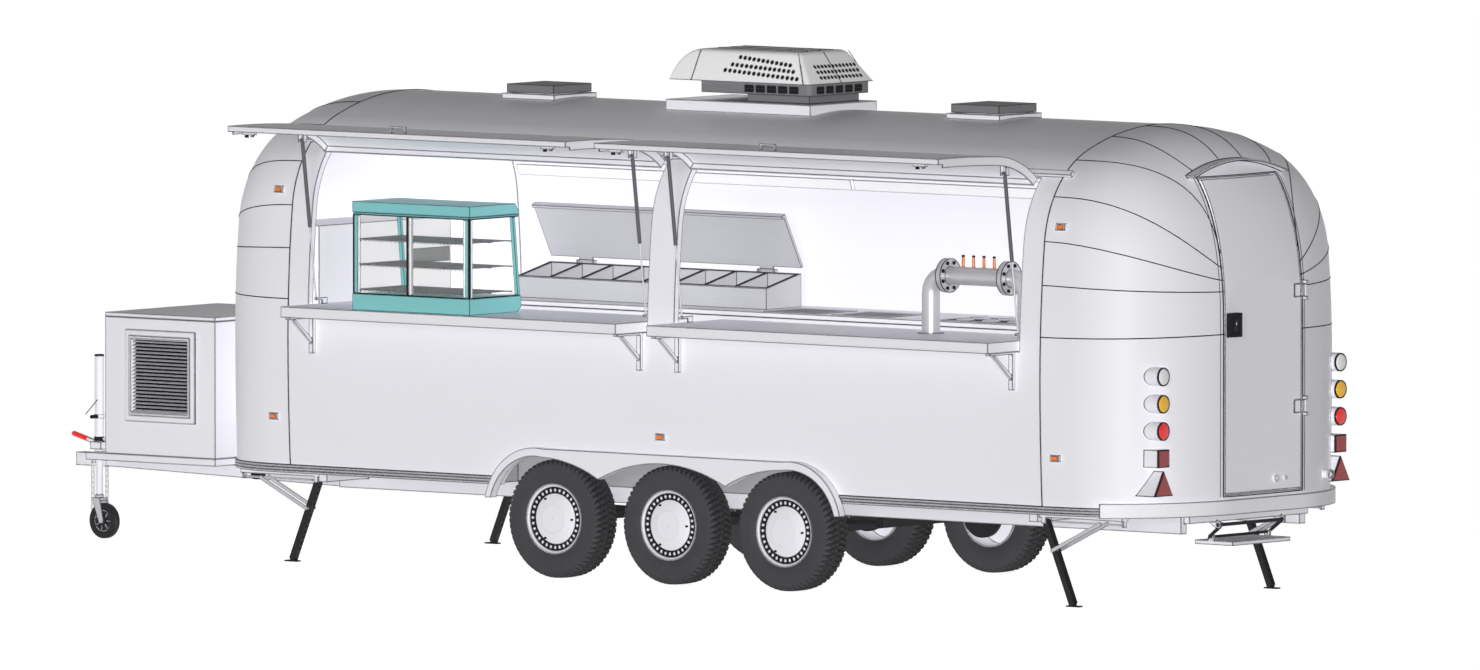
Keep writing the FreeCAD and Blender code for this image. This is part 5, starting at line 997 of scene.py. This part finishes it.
class TRAILER_OT_cooler(bpy.types.Operator):
    """Roof cooler: plate, tray with black plates of painted shade for its slots, and rounded cover
    with black discs of painted shade for its rows of holes
    """

    bl_idname = "trailer.cooler"
    bl_label = "Roof cooler"

    def execute(self, context):
        shares = np.sin(np.linspace(0, math.pi / 2, 22))
        rings = [cover_ring(share) for share in shares]
        inner = cover_ring(0.0)
        middle = inner.mean(0)
        rings.insert(0, middle + (inner - middle) * (0.97, 0.95, 1))
        top = rings[-1]
        centre = top.mean(0)
        rings.append(centre + (top - centre) * (0.93, 0.9, 1))
        rings.append(np.broadcast_to(centre, top.shape))
        surfaces = [grid(np.stack(rings), wrap_columns=True)] + cover_hole_shade()
        for y in (-0.11, 0.0, 0.11):
            surfaces.append(carried([(-0.34, y, 2.918), (0.29, y, 2.918)],
                                    circle(0.006, 8), (0, 0, 1.0)))
        share = np.linspace(0, 0.97, 16)
        height = TRAY_TOP + COVER_TALL * share
        bead = circle(0.0022, 6)
        side = COVER_LEAN * share - COVER_HALF
        front = np.column_stack([-0.395 + 0.018 * share, side, height])
        near = np.column_stack([0.4 - 0.09 * share, side, height])
        rear = np.column_stack([COVER_REAR - REAR_LEAN * share, 0 * share, height])
        for path, out in ((front, (0, -1, 0.4)), (front * (1, -1, 1), (0, 1, 0.4)),
                          (near, (0, -1, 0.4)), (near * (1, -1, 1), (0, 1, 0.4)),
                          (rear, (1, 0, 0.7))):
            surfaces.append(carried(path, bead, out, coat=1))
        build("cooler_hood", surfaces, ["White plastic", "Black sealant"],
              hides=["cooler_cover"])
        plate = block((-0.5685, -0.2965, 2.574), (0.4545, 0.2965, 2.636))
        riser = block((-0.05, -0.22, 2.63), (0.388, 0.22, 2.69), 1)
        tray = rounded_ring(-0.352, 0.429, 0.27, 0.03)
        level = [np.column_stack([tray, np.full(len(tray), z)]) for z in (2.681, 2.75)]
        body = [plate, riser] + prism(level[0], (0, 0, 0.069), 1)
        for i in range(5):
            x, y = 0.002 + i * 0.079, -0.173 + i * 0.084
            # Each slot is a black plate of painted shade, with a dark grey bar on it.
            steps = [(0.031, 0.0185, -0.004), (0.031, 0.0185, 0.0012), (0.028, 0.0155, 0.0012)]
            for side in (-1, 1):
                body.append(stepped((x, side * 0.27, 2.7125), (-side, 0, 0), (0, 0, 1), steps, 2,
                                    True))
                body.append(block((x - 0.028, side * 0.2705, 2.7115),
                                  (x + 0.028, side * 0.2722, 2.7135), 1))
            body.append(stepped((0.429, y, 2.7125), (0, 1, 0), (0, 0, 1), steps, 2, True))
            body.append(block((0.4295, y - 0.028, 2.7115), (0.4312, y + 0.028, 2.7135), 1))
        build("cooler_tray", body, ["White fittings", "Dark grey plastic", "Black sealant"],
              bevel=0.0015, hides=["cooler_base"])
        return {"FINISHED"}


# Drawbar


class TRAILER_OT_louvre(bpy.types.Operator):
    """Louvre of the generator box: bevelled frame, slats and a black sheet of painted shade behind
    them
    """

    bl_idname = "trailer.louvre"
    bl_label = "Generator louvre"

    def execute(self, context):
        middle = np.array([-4.046, -0.494, 0.959])
        outer = [(0.2535, 0.2565, 0.007), (0.2535, 0.2565, 0.0105), (0.25, 0.253, 0.0125),
                 (0.222, 0.225, 0.0125), (0.219, 0.222, 0.0165), (0.206, 0.209, 0.0165),
                 (0.2, 0.203, 0.006), (0.2, 0.203, -0.024)]
        # The black block behind the slats is painted shade in the opening of the box.
        surfaces = [stepped(middle, (1, 0, 0), (0, 0, 1), outer),
                    block(middle + (-0.2, 0.0225, -0.203), middle + (0.2, 0.0255, 0.203), 1)]
        slats, tall = 20, 0.408
        for i in range(slats):
            z = tall * ((i + 0.5) / slats - 0.5)
            section = [(-0.006, z - 0.0062), (-0.0045, z - 0.0074), (0.016, z + 0.0012),
                       (0.0145, z + 0.0028)]
            outline = [middle + (-0.2, y, h) for y, h in section]
            surfaces += prism(outline, (0.4, 0, 0))
        build("louvre_slats", surfaces, ["White fittings", "Black sealant"])
        return {"FINISHED"}


class TRAILER_OT_drawbar(bpy.types.Operator):
    """Brake grip, clamp handles, cap and plug of the drawbar"""

    bl_idname = "trailer.drawbar"
    bl_label = "Drawbar fittings"

    def execute(self, context):
        grip_end, grip_start = np.array([-5.073, -0.031, 0.574]), np.array([-4.967, -0.031, 0.546])
        along = unit(grip_end - grip_start)
        profile = [(0, 0), (0.0135, 0), (0.0155, 0.004), (0.0148, 0.03), (0.0155, 0.055),
                   (0.0148, 0.08), (0.0155, 0.104), (0.012, 0.1125), (0, 0.1135)]
        surfaces = [turned(profile, grip_start, along, 20, 1)]
        jockey = np.array([-4.783, -0.15, 0.0])
        cap = [(0, 1.039), (0.024, 1.0385), (0.0278, 1.035), (0.0278, 1.028), (0.0265, 1.028)]
        surfaces.append(turned(cap, jockey, (0, 0, 1), 28, 2))
        for z in (0.562, 0.688):
            ring = [(0.0262, z - 0.012), (0.0295, z - 0.012), (0.0295, z + 0.012),
                    (0.0262, z + 0.012)]
            surfaces.append(turned(ring, jockey, (0, 0, 1), 28, 2 if z < 0.6 else 0))
        rods = (
            ((0, -0.026, 0.688), (0, -0.07, 0.688), 0.011, 16, 2),
            ((-0.05, -0.06, 0.7), (0.035, -0.06, 0.785), 0.003, 8, 3),
            ((0.026, 0, 0.562), (0.14, 0, 0.555), 0.0095, 16, 0),
            ((0.14, 0, 0.555), (0.147, 0, 0.5546), 0.011, 16, 2),
        )
        for start, end, radius, sides, coat in rods:
            surfaces.append(rod_between(jockey + start, jockey + end, radius, sides, coat))
        plug = [(0, 0), (0.03, 0)]
        for i in range(5):
            plug += [(0.031, 0.004 + i * 0.012), (0.031, 0.009 + i * 0.012),
                     (0.027, 0.0105 + i * 0.012), (0.027, 0.0135 + i * 0.012)]
        plug += [(0.02, 0.066), (0, 0.066)]
        surfaces.append(turned(plug, (-3.43, -0.418, 0.436), (1, 0, 0), 24, 2))
        build("drawbar_fittings", surfaces,
              ["White fittings", "Grip red", "Black sealant", "Strut enamel"])
        hub = np.array([-4.745, -0.15, 0.1])
        wheel = []
        for side in (-1, 1):
            face = hub + (0, side * 0.0142, 0)
            boss = [(0.0105, 0.002), (0.019, 0.003), (0.021, 0.0), (0.021, -0.002)]
            rim = [(0.056, -0.002), (0.057, 0.002), (0.0605, 0.002), (0.0615, -0.002)]
            wheel.append(turned(boss, face, (0, side, 0), 24))
            wheel.append(turned(rim, face, (0, side, 0), 40))
            for x, z in circle(1.0, 7):
                out = np.array([x, 0, z])
                wheel.append(rod_between(face + out * 0.018, face + out * 0.058, 0.0036, 8))
        build("jockey_spokes", wheel, ["White fittings"], body="jockey_roller")
        return {"FINISHED"}


# Display case and what stands inside


def case_shelf(z):
    """A wire shelf: thin rods from front to back on three bars, with a comb at the front."""
    made = []
    for x in np.arange(-1.985, -1.195, 0.0135):
        made.append(block((x - 0.0016, -1.262, z - 0.0016), (x + 0.0016, -0.87, z + 0.0016), 2))
    for y in (-1.255, -1.06, -0.875):
        made.append(block((-1.99, y - 0.003, z - 0.006), (-1.195, y + 0.003, z - 0.0014), 2))
    for x in np.arange(-1.985, -1.195, 0.027):
        made.append(block((x - 0.0045, -1.266, z - 0.012), (x + 0.0045, -1.2615, z + 0.003), 1))
    return made


class TRAILER_OT_case(bpy.types.Operator):
    """Display case: enamel bands, posts with dark seals and wire shelves"""

    bl_idname = "trailer.case"
    bl_label = "Display case"

    def execute(self, context):
        front, rear, near, far = -2.012, -1.173, -1.276, -0.824
        foot, base, band, top = 1.456, 1.546, 1.99, 2.06
        long = (rear - front, 0, 0)
        surfaces = prism([(front, near, foot), (front, far - 0.03, foot), (front, far, foot + 0.03),
                          (front, far, base), (front, near, base)], long)
        surfaces += prism([(front, near, band + 0.01), (front, far - 0.012, band + 0.01),
                           (front, far - 0.05, top), (front, near, top)], long)
        surfaces.append(block((front + 0.004, near + 0.004, band),
                              (rear - 0.004, far - 0.02, band + 0.0125)))
        post = -1.614
        uprights = (
            (front + 0.002, front + 0.012, 0.002, 0.012, 3),
            (rear - 0.012, rear - 0.002, 0.002, 0.012, 3),
            (post - 0.013, post, 0.002, 0.014, 3),
            (front + 0.012, front + 0.034, 0.003, 0.025, 0),
            (rear - 0.034, rear - 0.012, 0.003, 0.025, 0),
            (front + 0.034, front + 0.05, 0.004, 0.012, 1),
            (rear - 0.05, rear - 0.034, 0.004, 0.012, 1),
            (post, post + 0.026, 0.004, 0.014, 1),
            (rear - 0.008, rear - 0.003, 0.012, 0.03, 1),
        )
        for start, end, low, high, coat in uprights:
            surfaces.append(block((start, near + low, base), (end, near + high, band), coat))
        for z in (base, band - 0.006):
            surfaces.append(block((front + 0.003, near + 0.003, z),
                                  (rear - 0.003, near + 0.011, z + 0.006), 3))
            surfaces.append(block((rear - 0.011, near + 0.003, z),
                                  (rear - 0.003, far - 0.022, z + 0.006), 3))
        for x in (front + 0.004, rear - 0.026):
            lean = [(x, far - 0.024, base), (x, far - 0.004, base), (x, far - 0.05, band),
                    (x, far - 0.07, band)]
            surfaces += prism(lean, (0.022, 0, 0))
        for z in (1.572, 1.712, 1.852):
            surfaces += case_shelf(z)
        build("case_body", surfaces,
              ["Teal enamel", "White plastic", "Brushed steel", "Black sealant"], body="case",
              hides=["display_case"])
        return {"FINISHED"}


class TRAILER_OT_kitchen(bpy.types.Operator):
    """Fine pieces on the worktop, the tall cabinet and the chilled unit"""

    bl_idname = "trailer.kitchen"
    bl_label = "Kitchen fittings"

    def execute(self, context):
        front, rear, rim, count = -2.358, -0.562, 0.024, 8
        pitch = (rear - front - rim) / count
        slope, worktop = 0.07 / 0.312, 1.4202

        def top(y):
            """Height of the sloping top at a Y."""
            return 1.538 + (y - 0.588) * slope

        surfaces = []
        for i in range(count + 1):
            x = front + rim / 2 + i * pitch
            ends = [(x - 0.009, y, top(y) + lift)
                    for y, lift in ((0.604, -0.003), (0.884, -0.003), (0.884, 0.002),
                                    (0.604, 0.002))]
            surfaces += prism(ends, (0.018, 0, 0), 0)
        for y in (0.606, 0.882):
            surfaces.append(block((front + 0.004, y - 0.005, top(y) - 0.003),
                                  (rear - 0.004, y + 0.005, top(y) + 0.0022), 0))
        for x, half, inside in ((-0.28, 0.2, 3), (0.2, 0.2, 3), (1.05, 0.32, 0)):
            steps = [(half, 0.17, -0.002), (half, 0.17, 0.003), (half - 0.012, 0.158, 0.005),
                     (half - 0.02, 0.15, 0.001)]
            bottom = [(half - 0.02, 0.15, 0.001), (half - 0.03, 0.14, 0.0008)]
            place = (x, 0.63, worktop)
            surfaces.append(stepped(place, (1, 0, 0), (0, 1, 0), steps, 1))
            surfaces.append(stepped(place, (1, 0, 0), (0, 1, 0), bottom, inside, True))
        for x in (0.87, 1.05, 1.23):
            for y in (0.56, 0.7):
                surfaces.append(turned([(0, 0.012), (0.038, 0.012), (0.04, 0.009), (0.056, 0.0)],
                                       (x, y, 1.421), (0, 0, 1), 20, 1))
        surfaces.append(block((-2.5995, 0.4145, 1.3895), (2.5995, 0.4205, 1.3935), 0))
        surfaces.append(stepped((-2.7245, 0.265, 1.66), (0, 1, 0), (0, 0, 1),
                                [(0.18, 0.04, -0.001), (0.18, 0.04, 0.004), (0.172, 0.033, 0.004)],
                                2, True))
        build("kitchen_fittings", surfaces,
              ["Black sealant", "Brushed steel", "Dark grey plastic", "Engine grey"])
        return {"FINISHED"}


class TRAILER_OT_taps(bpy.types.Operator):
    """Bolts, rims and copper taps of the bent pipe"""

    bl_idname = "trailer.taps"
    bl_label = "Taps and flanges"

    def execute(self, context):
        y, z, bolt_circle, pitch = -0.872, 1.78, 0.0735, 0.072
        bolt = [(0, 0), (0.0095, 0), (0.0115, 0.002), (0.0115, 0.046), (0.0095, 0.048),
                (0, 0.048)]
        surfaces = []
        for low, high in ((1.864, 1.896), (2.288, 2.32)):
            for x in (low, high):
                rim = [(0.0925, x - 0.002), (0.0948, x - 0.002), (0.0948, x + 0.002),
                       (0.0925, x + 0.002)]
                surfaces.append(turned(rim, (0, y, z), (1, 0, 0), 48, 1))
            for side, rise in circle(bolt_circle, 8, math.pi / 8):
                spot = (low - 0.008, y + side, z + rise)
                surfaces.append(turned(bolt, spot, (1, 0, 0), 6, 1))
        for i in range(4):
            x = 1.985 + i * pitch
            tap = [(0.0112, 0.045), (0.0112, 0.0525), (0.0084, 0.0525), (0.0084, 0.058),
                   (0.0078, 0.058), (0.0088, 0.075), (0.0076, 0.105)]
            tip = [(0.0092, 0.105), (0.0092, 0.1125), (0.0065, 0.1165), (0, 0.1172)]
            surfaces.append(turned(tap, (x, y, z), (0, 0, 1), 14, 2))
            surfaces.append(turned(tip, (x, y, z), (0, 0, 1), 14, 1))
        foot = [(0.0505, 1.456), (0.072, 1.456), (0.074, 1.458), (0.074, 1.462), (0.07, 1.465),
                (0.0505, 1.465)]
        surfaces.append(turned(foot, (1.759, y, 0), (0, 0, 1), 40, 0))
        build("tap_fittings", surfaces, ["Pipe steel", "Black sealant", "Copper"])
        return {"FINISHED"}


# Door and hatches


def door_line(y, low, high, count=60):
    """Path up the rear end at one side distance."""
    return np.array([end_point(y, z) for z in np.linspace(low, high, count)])


def door_cross(z, half, count=24):
    """Path across the rear end at one height."""
    return np.array([end_point(y, z) for y in np.linspace(-half, half, count)])


class TRAILER_OT_door(bpy.types.Operator):
    """Seals round the rear doorway, the paddle latch and the discs on the door"""

    bl_idname = "trailer.door"
    bl_label = "Door fittings"

    def execute(self, context):
        surfaces = []
        for y, radius in ((0.3545, 0.0035), (0.376, 0.0022)):
            for side in (-1, 1):
                surfaces.append(carried(door_line(side * y, 0.6, 2.34), circle(radius, 6),
                                        (1.0, 0, 0)))
        for z in (0.6, 2.343):
            surfaces.append(carried(door_cross(z, 0.3545), circle(0.003, 6), (1.0, 0, 0)))
        port_y, port_z = 0.62, 0.672
        port = [(0.0, -0.03), (0.024, -0.03), (0.024, 0.03), (0.0275, 0.03), (0.0275, 0.042),
                (0.019, 0.044), (0.017, 0.036), (0, 0.036)]
        spot = (cap_x(port_y, port_z) + 0.012, port_y, port_z)
        surfaces.append(turned(port, spot, (1, 0, 0), 28, 1))
        build("door_seals", surfaces, ["Black sealant", "White fittings"])
        middle = np.array([cap_x(0.277, 1.4), -0.277, 1.538])
        lean = unit([1.0, -0.2, 0.0])
        across = np.array([-lean[1], lean[0], 0.0])
        plate = [(0.05, 0.066, -0.01), (0.05, 0.066, 0.019), (0.046, 0.062, 0.0245),
                 (0.034, 0.05, 0.0245), (0.031, 0.047, 0.0215)]
        bar = [(0.011, 0.034, 0.02), (0.011, 0.034, 0.0265), (0.008, 0.031, 0.0285)]
        slit = [(0.003, 0.009, 0.028), (0.003, 0.009, 0.0295)]
        latch = [stepped(middle, across, (0, 0, 1), plate, 0, True),
                 stepped(middle, across, (0, 0, 1), bar, 1, True),
                 stepped(middle + (0, 0, 0.008), across, (0, 0, 1), slit, 2, True)]
        for y, radius in ((0.102, 0.019), (0.19, 0.0115)):
            spot = (cap_x(y, 0.68) - 0.002, y, 0.68)
            disc = [(0, 0.008), (radius * 0.86, 0.008), (radius, 0.006), (radius, -0.006)]
            latch.append(turned(disc, spot, (1, 0, 0), 28, 2))
        build("door_latch", latch, ["Black sealant", "Black coated steel", "White fittings"],
              body="door_leaf", bevel=0.0012)
        return {"FINISHED"}


HATCH_PIN = np.array([-0.86862, 2.34527])
HATCH_OPEN = math.radians(-87.2)


def opened(surface):
    """Turn a surface from a closed hatch to the open one about the hinge.

    New (y, z) = pin + (y cosine - z sine, y sine + z cosine), measured from the pin.
    """
    points, faces, coat = surface
    y, z = (points[:, 1:] - HATCH_PIN).T
    cosine, sine = math.cos(HATCH_OPEN), math.sin(HATCH_OPEN)
    swung = HATCH_PIN + np.column_stack([y * cosine - z * sine, y * sine + z * cosine])
    return np.column_stack([points[:, :1], swung]), faces, coat


class TRAILER_OT_hatches(bpy.types.Operator):
    """Latches and rubber seals of the serving hatches"""

    bl_idname = "trailer.hatches"
    bl_label = "Hatch fittings"

    def execute(self, context):
        for name, start, end in (("front_hatch", -2.509, -0.101), ("rear_hatch", 0.101, 2.509)):
            surfaces = []
            for x in (start + 0.14, end - 0.14):
                surfaces.append(block((x - 0.045, -1.02, 1.472), (x + 0.045, -1.0, 1.492), 0))
                surfaces.append(block((x - 0.03, -1.006, 1.474), (x - 0.01, -0.985, 1.488), 1))
                surfaces.append(block((x + 0.012, -1.006, 1.474), (x + 0.03, -0.989, 1.488), 0))
            surfaces.append(block((start + 0.06, -1.0185, 1.474), (end - 0.06, -1.0165, 1.4785), 1))
            build(f"{name}_fittings", [opened(one) for one in surfaces],
                  ["White fittings", "Black sealant"], body=name, bevel=0.001)
        return {"FINISHED"}


# Stage


FLOOR_GLOW, WORLD_IN_SHINE = 0.92, 0.75


def larger(tree, first, second):
    """The larger of two sockets."""
    made = add_node(tree, "ShaderNodeMath", {0: first, 1: second}, operation="MAXIMUM")
    return made.outputs[0]


def stage_floor(side):
    """A pale floor that looks white to the camera and still takes the shadows."""
    mesh = bpy.data.meshes.new("stage_floor")
    half = side / 2
    mesh.from_pydata([(-half, -half, 0), (half, -half, 0), (half, half, 0), (-half, half, 0)],
                     [], [(0, 1, 2, 3)])
    floor = bpy.data.objects.new("stage_floor", mesh)
    bpy.context.scene.collection.objects.link(floor)
    material = bpy.data.materials.new("Stage floor")
    material.use_nodes = True
    tree = material.node_tree
    shader = tree.nodes["Principled BSDF"]
    shader.inputs["Roughness"].default_value = 1.0
    shader.inputs["Specular IOR Level"].default_value = 0.0
    shader.inputs["Base Color"].default_value = (0.82, 0.82, 0.83, 1.0)
    rays = add_node(tree, "ShaderNodeLightPath")
    seen = larger(tree, rays.outputs["Is Camera Ray"], rays.outputs["Is Glossy Ray"])
    seen = larger(tree, seen, rays.outputs["Is Transmission Ray"])
    glow = add_node(tree, "ShaderNodeEmission", {"Color": (1, 1, 1, 1), "Strength": FLOOR_GLOW})
    both = add_node(tree, "ShaderNodeAddShader",
                    {0: shader.outputs["BSDF"], 1: glow.outputs["Emission"]})
    pick = add_node(tree, "ShaderNodeMixShader",
                    {"Fac": seen, 1: shader.outputs["BSDF"], 2: both.outputs["Shader"]})
    tree.links.new(pick.outputs["Shader"], tree.nodes["Material Output"].inputs["Surface"])
    mesh.materials.append(material)


def stage_world(level):
    """Dim even surroundings, white to the camera and through glass, and pale in a shine."""
    world = bpy.data.worlds.new("Stage world")
    bpy.context.scene.world = world
    world.use_nodes = True
    tree = world.node_tree
    back = tree.nodes["Background"]
    back.inputs["Color"].default_value = (1, 1, 1, 1)
    rays = add_node(tree, "ShaderNodeLightPath")
    seen = larger(tree, rays.outputs["Is Camera Ray"], rays.outputs["Is Transmission Ray"])
    shiny = add_node(tree, "ShaderNodeMath",
                     {0: rays.outputs["Is Glossy Ray"], 1: WORLD_IN_SHINE}, operation="MULTIPLY")
    seen = larger(tree, seen, shiny.outputs[0])
    strength = add_node(tree, "ShaderNodeMapRange",
                        {"Value": seen, "To Min": level, "To Max": 1.0})
    tree.links.new(strength.outputs["Result"], back.inputs["Strength"])


def sun(name, strength, azimuth, elevation, spread, shadows=False, shine=True):
    """A sun from an azimuth and elevation in degrees, with or without a glint of its own."""
    lamp = bpy.data.lights.new(name, "SUN")
    lamp.energy = strength
    lamp.angle = math.radians(spread)
    lamp.use_shadow = shadows
    holder = bpy.data.objects.new(name, lamp)
    holder.visible_glossy = shine
    bpy.context.scene.collection.objects.link(holder)
    holder.rotation_euler = (math.radians(90 - elevation), 0, math.radians(azimuth))


CAMERA_AIM, CAMERA_AWAY, CAMERA_LENS = np.array([-0.279, 0, 1.321]), 168.69, 740
CAMERA_TURN, CAMERA_RISE = math.radians(38.674), math.radians(3.706)


def stage_camera():
    """The photograph's view: a long lens from the near rear corner."""
    lens_data = bpy.data.cameras.new("Camera")
    lens_data.lens = CAMERA_LENS
    lens_data.sensor_width = 36
    lens_data.clip_end = 2000
    camera = bpy.data.objects.new("Camera", lens_data)
    bpy.context.scene.collection.objects.link(camera)
    away = np.array([math.sin(CAMERA_TURN) * math.cos(CAMERA_RISE),
                     -math.cos(CAMERA_TURN) * math.cos(CAMERA_RISE), math.sin(CAMERA_RISE)])
    camera.location = CAMERA_AIM + SHIFT + CAMERA_AWAY * away
    camera.rotation_euler = (math.radians(90) - CAMERA_RISE, 0, CAMERA_TURN)
    bpy.context.scene.camera = camera


class TRAILER_OT_stage(bpy.types.Operator):
    """Floor, light and camera"""

    bl_idname = "trailer.stage"
    bl_label = "Stage"

    def execute(self, context):
        settings = context.scene.trailer_stage
        stage_floor(settings.floor)
        stage_world(settings.sky)
        sun("Key light", settings.key, 24, 8, 12, shadows=True)
        sun("Fill light", settings.fill, 41, -5, 4)
        sun("Far light", settings.sides, 190, -5, 4, shine=False)
        sun("Front light", settings.sides, 278, -5, 4, shine=False)
        stage_camera()
        context.scene.view_settings.view_transform = "Standard"
        return {"FINISHED"}


STEPS = (
    TRAILER_OT_finishes, TRAILER_OT_seams, TRAILER_OT_tyres, TRAILER_OT_wheel_rings,
    TRAILER_OT_lamps, TRAILER_OT_cooler, TRAILER_OT_louvre, TRAILER_OT_drawbar,
    TRAILER_OT_case, TRAILER_OT_kitchen, TRAILER_OT_taps, TRAILER_OT_door,
    TRAILER_OT_hatches, TRAILER_OT_stage,
)


class TRAILER_PT_build(bpy.types.Panel):
    """Sizes, colours and steps of the trailer"""

    bl_label = "Food trailer"
    bl_idname = "TRAILER_PT_build"
    bl_space_type = "VIEW_3D"
    bl_region_type = "UI"
    bl_category = "Trailer"

    def draw(self, context):
        """Show the settings and a button for each step."""
        for group in ("trailer_colours", "trailer_sizes", "trailer_stage"):
            settings = getattr(context.scene, group)
            box = self.layout.box()
            for key in settings.__annotations__:
                box.prop(settings, key)
        for step in STEPS:
            self.layout.operator(step.bl_idname)


GROUPS = (
    (TrailerColours, "trailer_colours"), (TrailerSizes, "trailer_sizes"),
    (TrailerStage, "trailer_stage"),
)


def register():
    """Make the property groups, the steps and the panel known."""
    for group, name in GROUPS:
        bpy.utils.register_class(group)
        setattr(bpy.types.Scene, name, bpy.props.PointerProperty(type=group))
    for step in STEPS + (TRAILER_PT_build,):
        bpy.utils.register_class(step)


def unregister():
    """Take back what register made known."""
    for step in (TRAILER_PT_build,) + STEPS[::-1]:
        bpy.utils.unregister_class(step)
    for group, name in GROUPS[::-1]:
        delattr(bpy.types.Scene, name)
        bpy.utils.unregister_class(group)


def main():
    """Build every piece in order."""
    register()
    for step in STEPS:
        group, name = step.bl_idname.split(".")
        getattr(getattr(bpy.ops, group), name)()


if __name__ == "__main__":
    main()
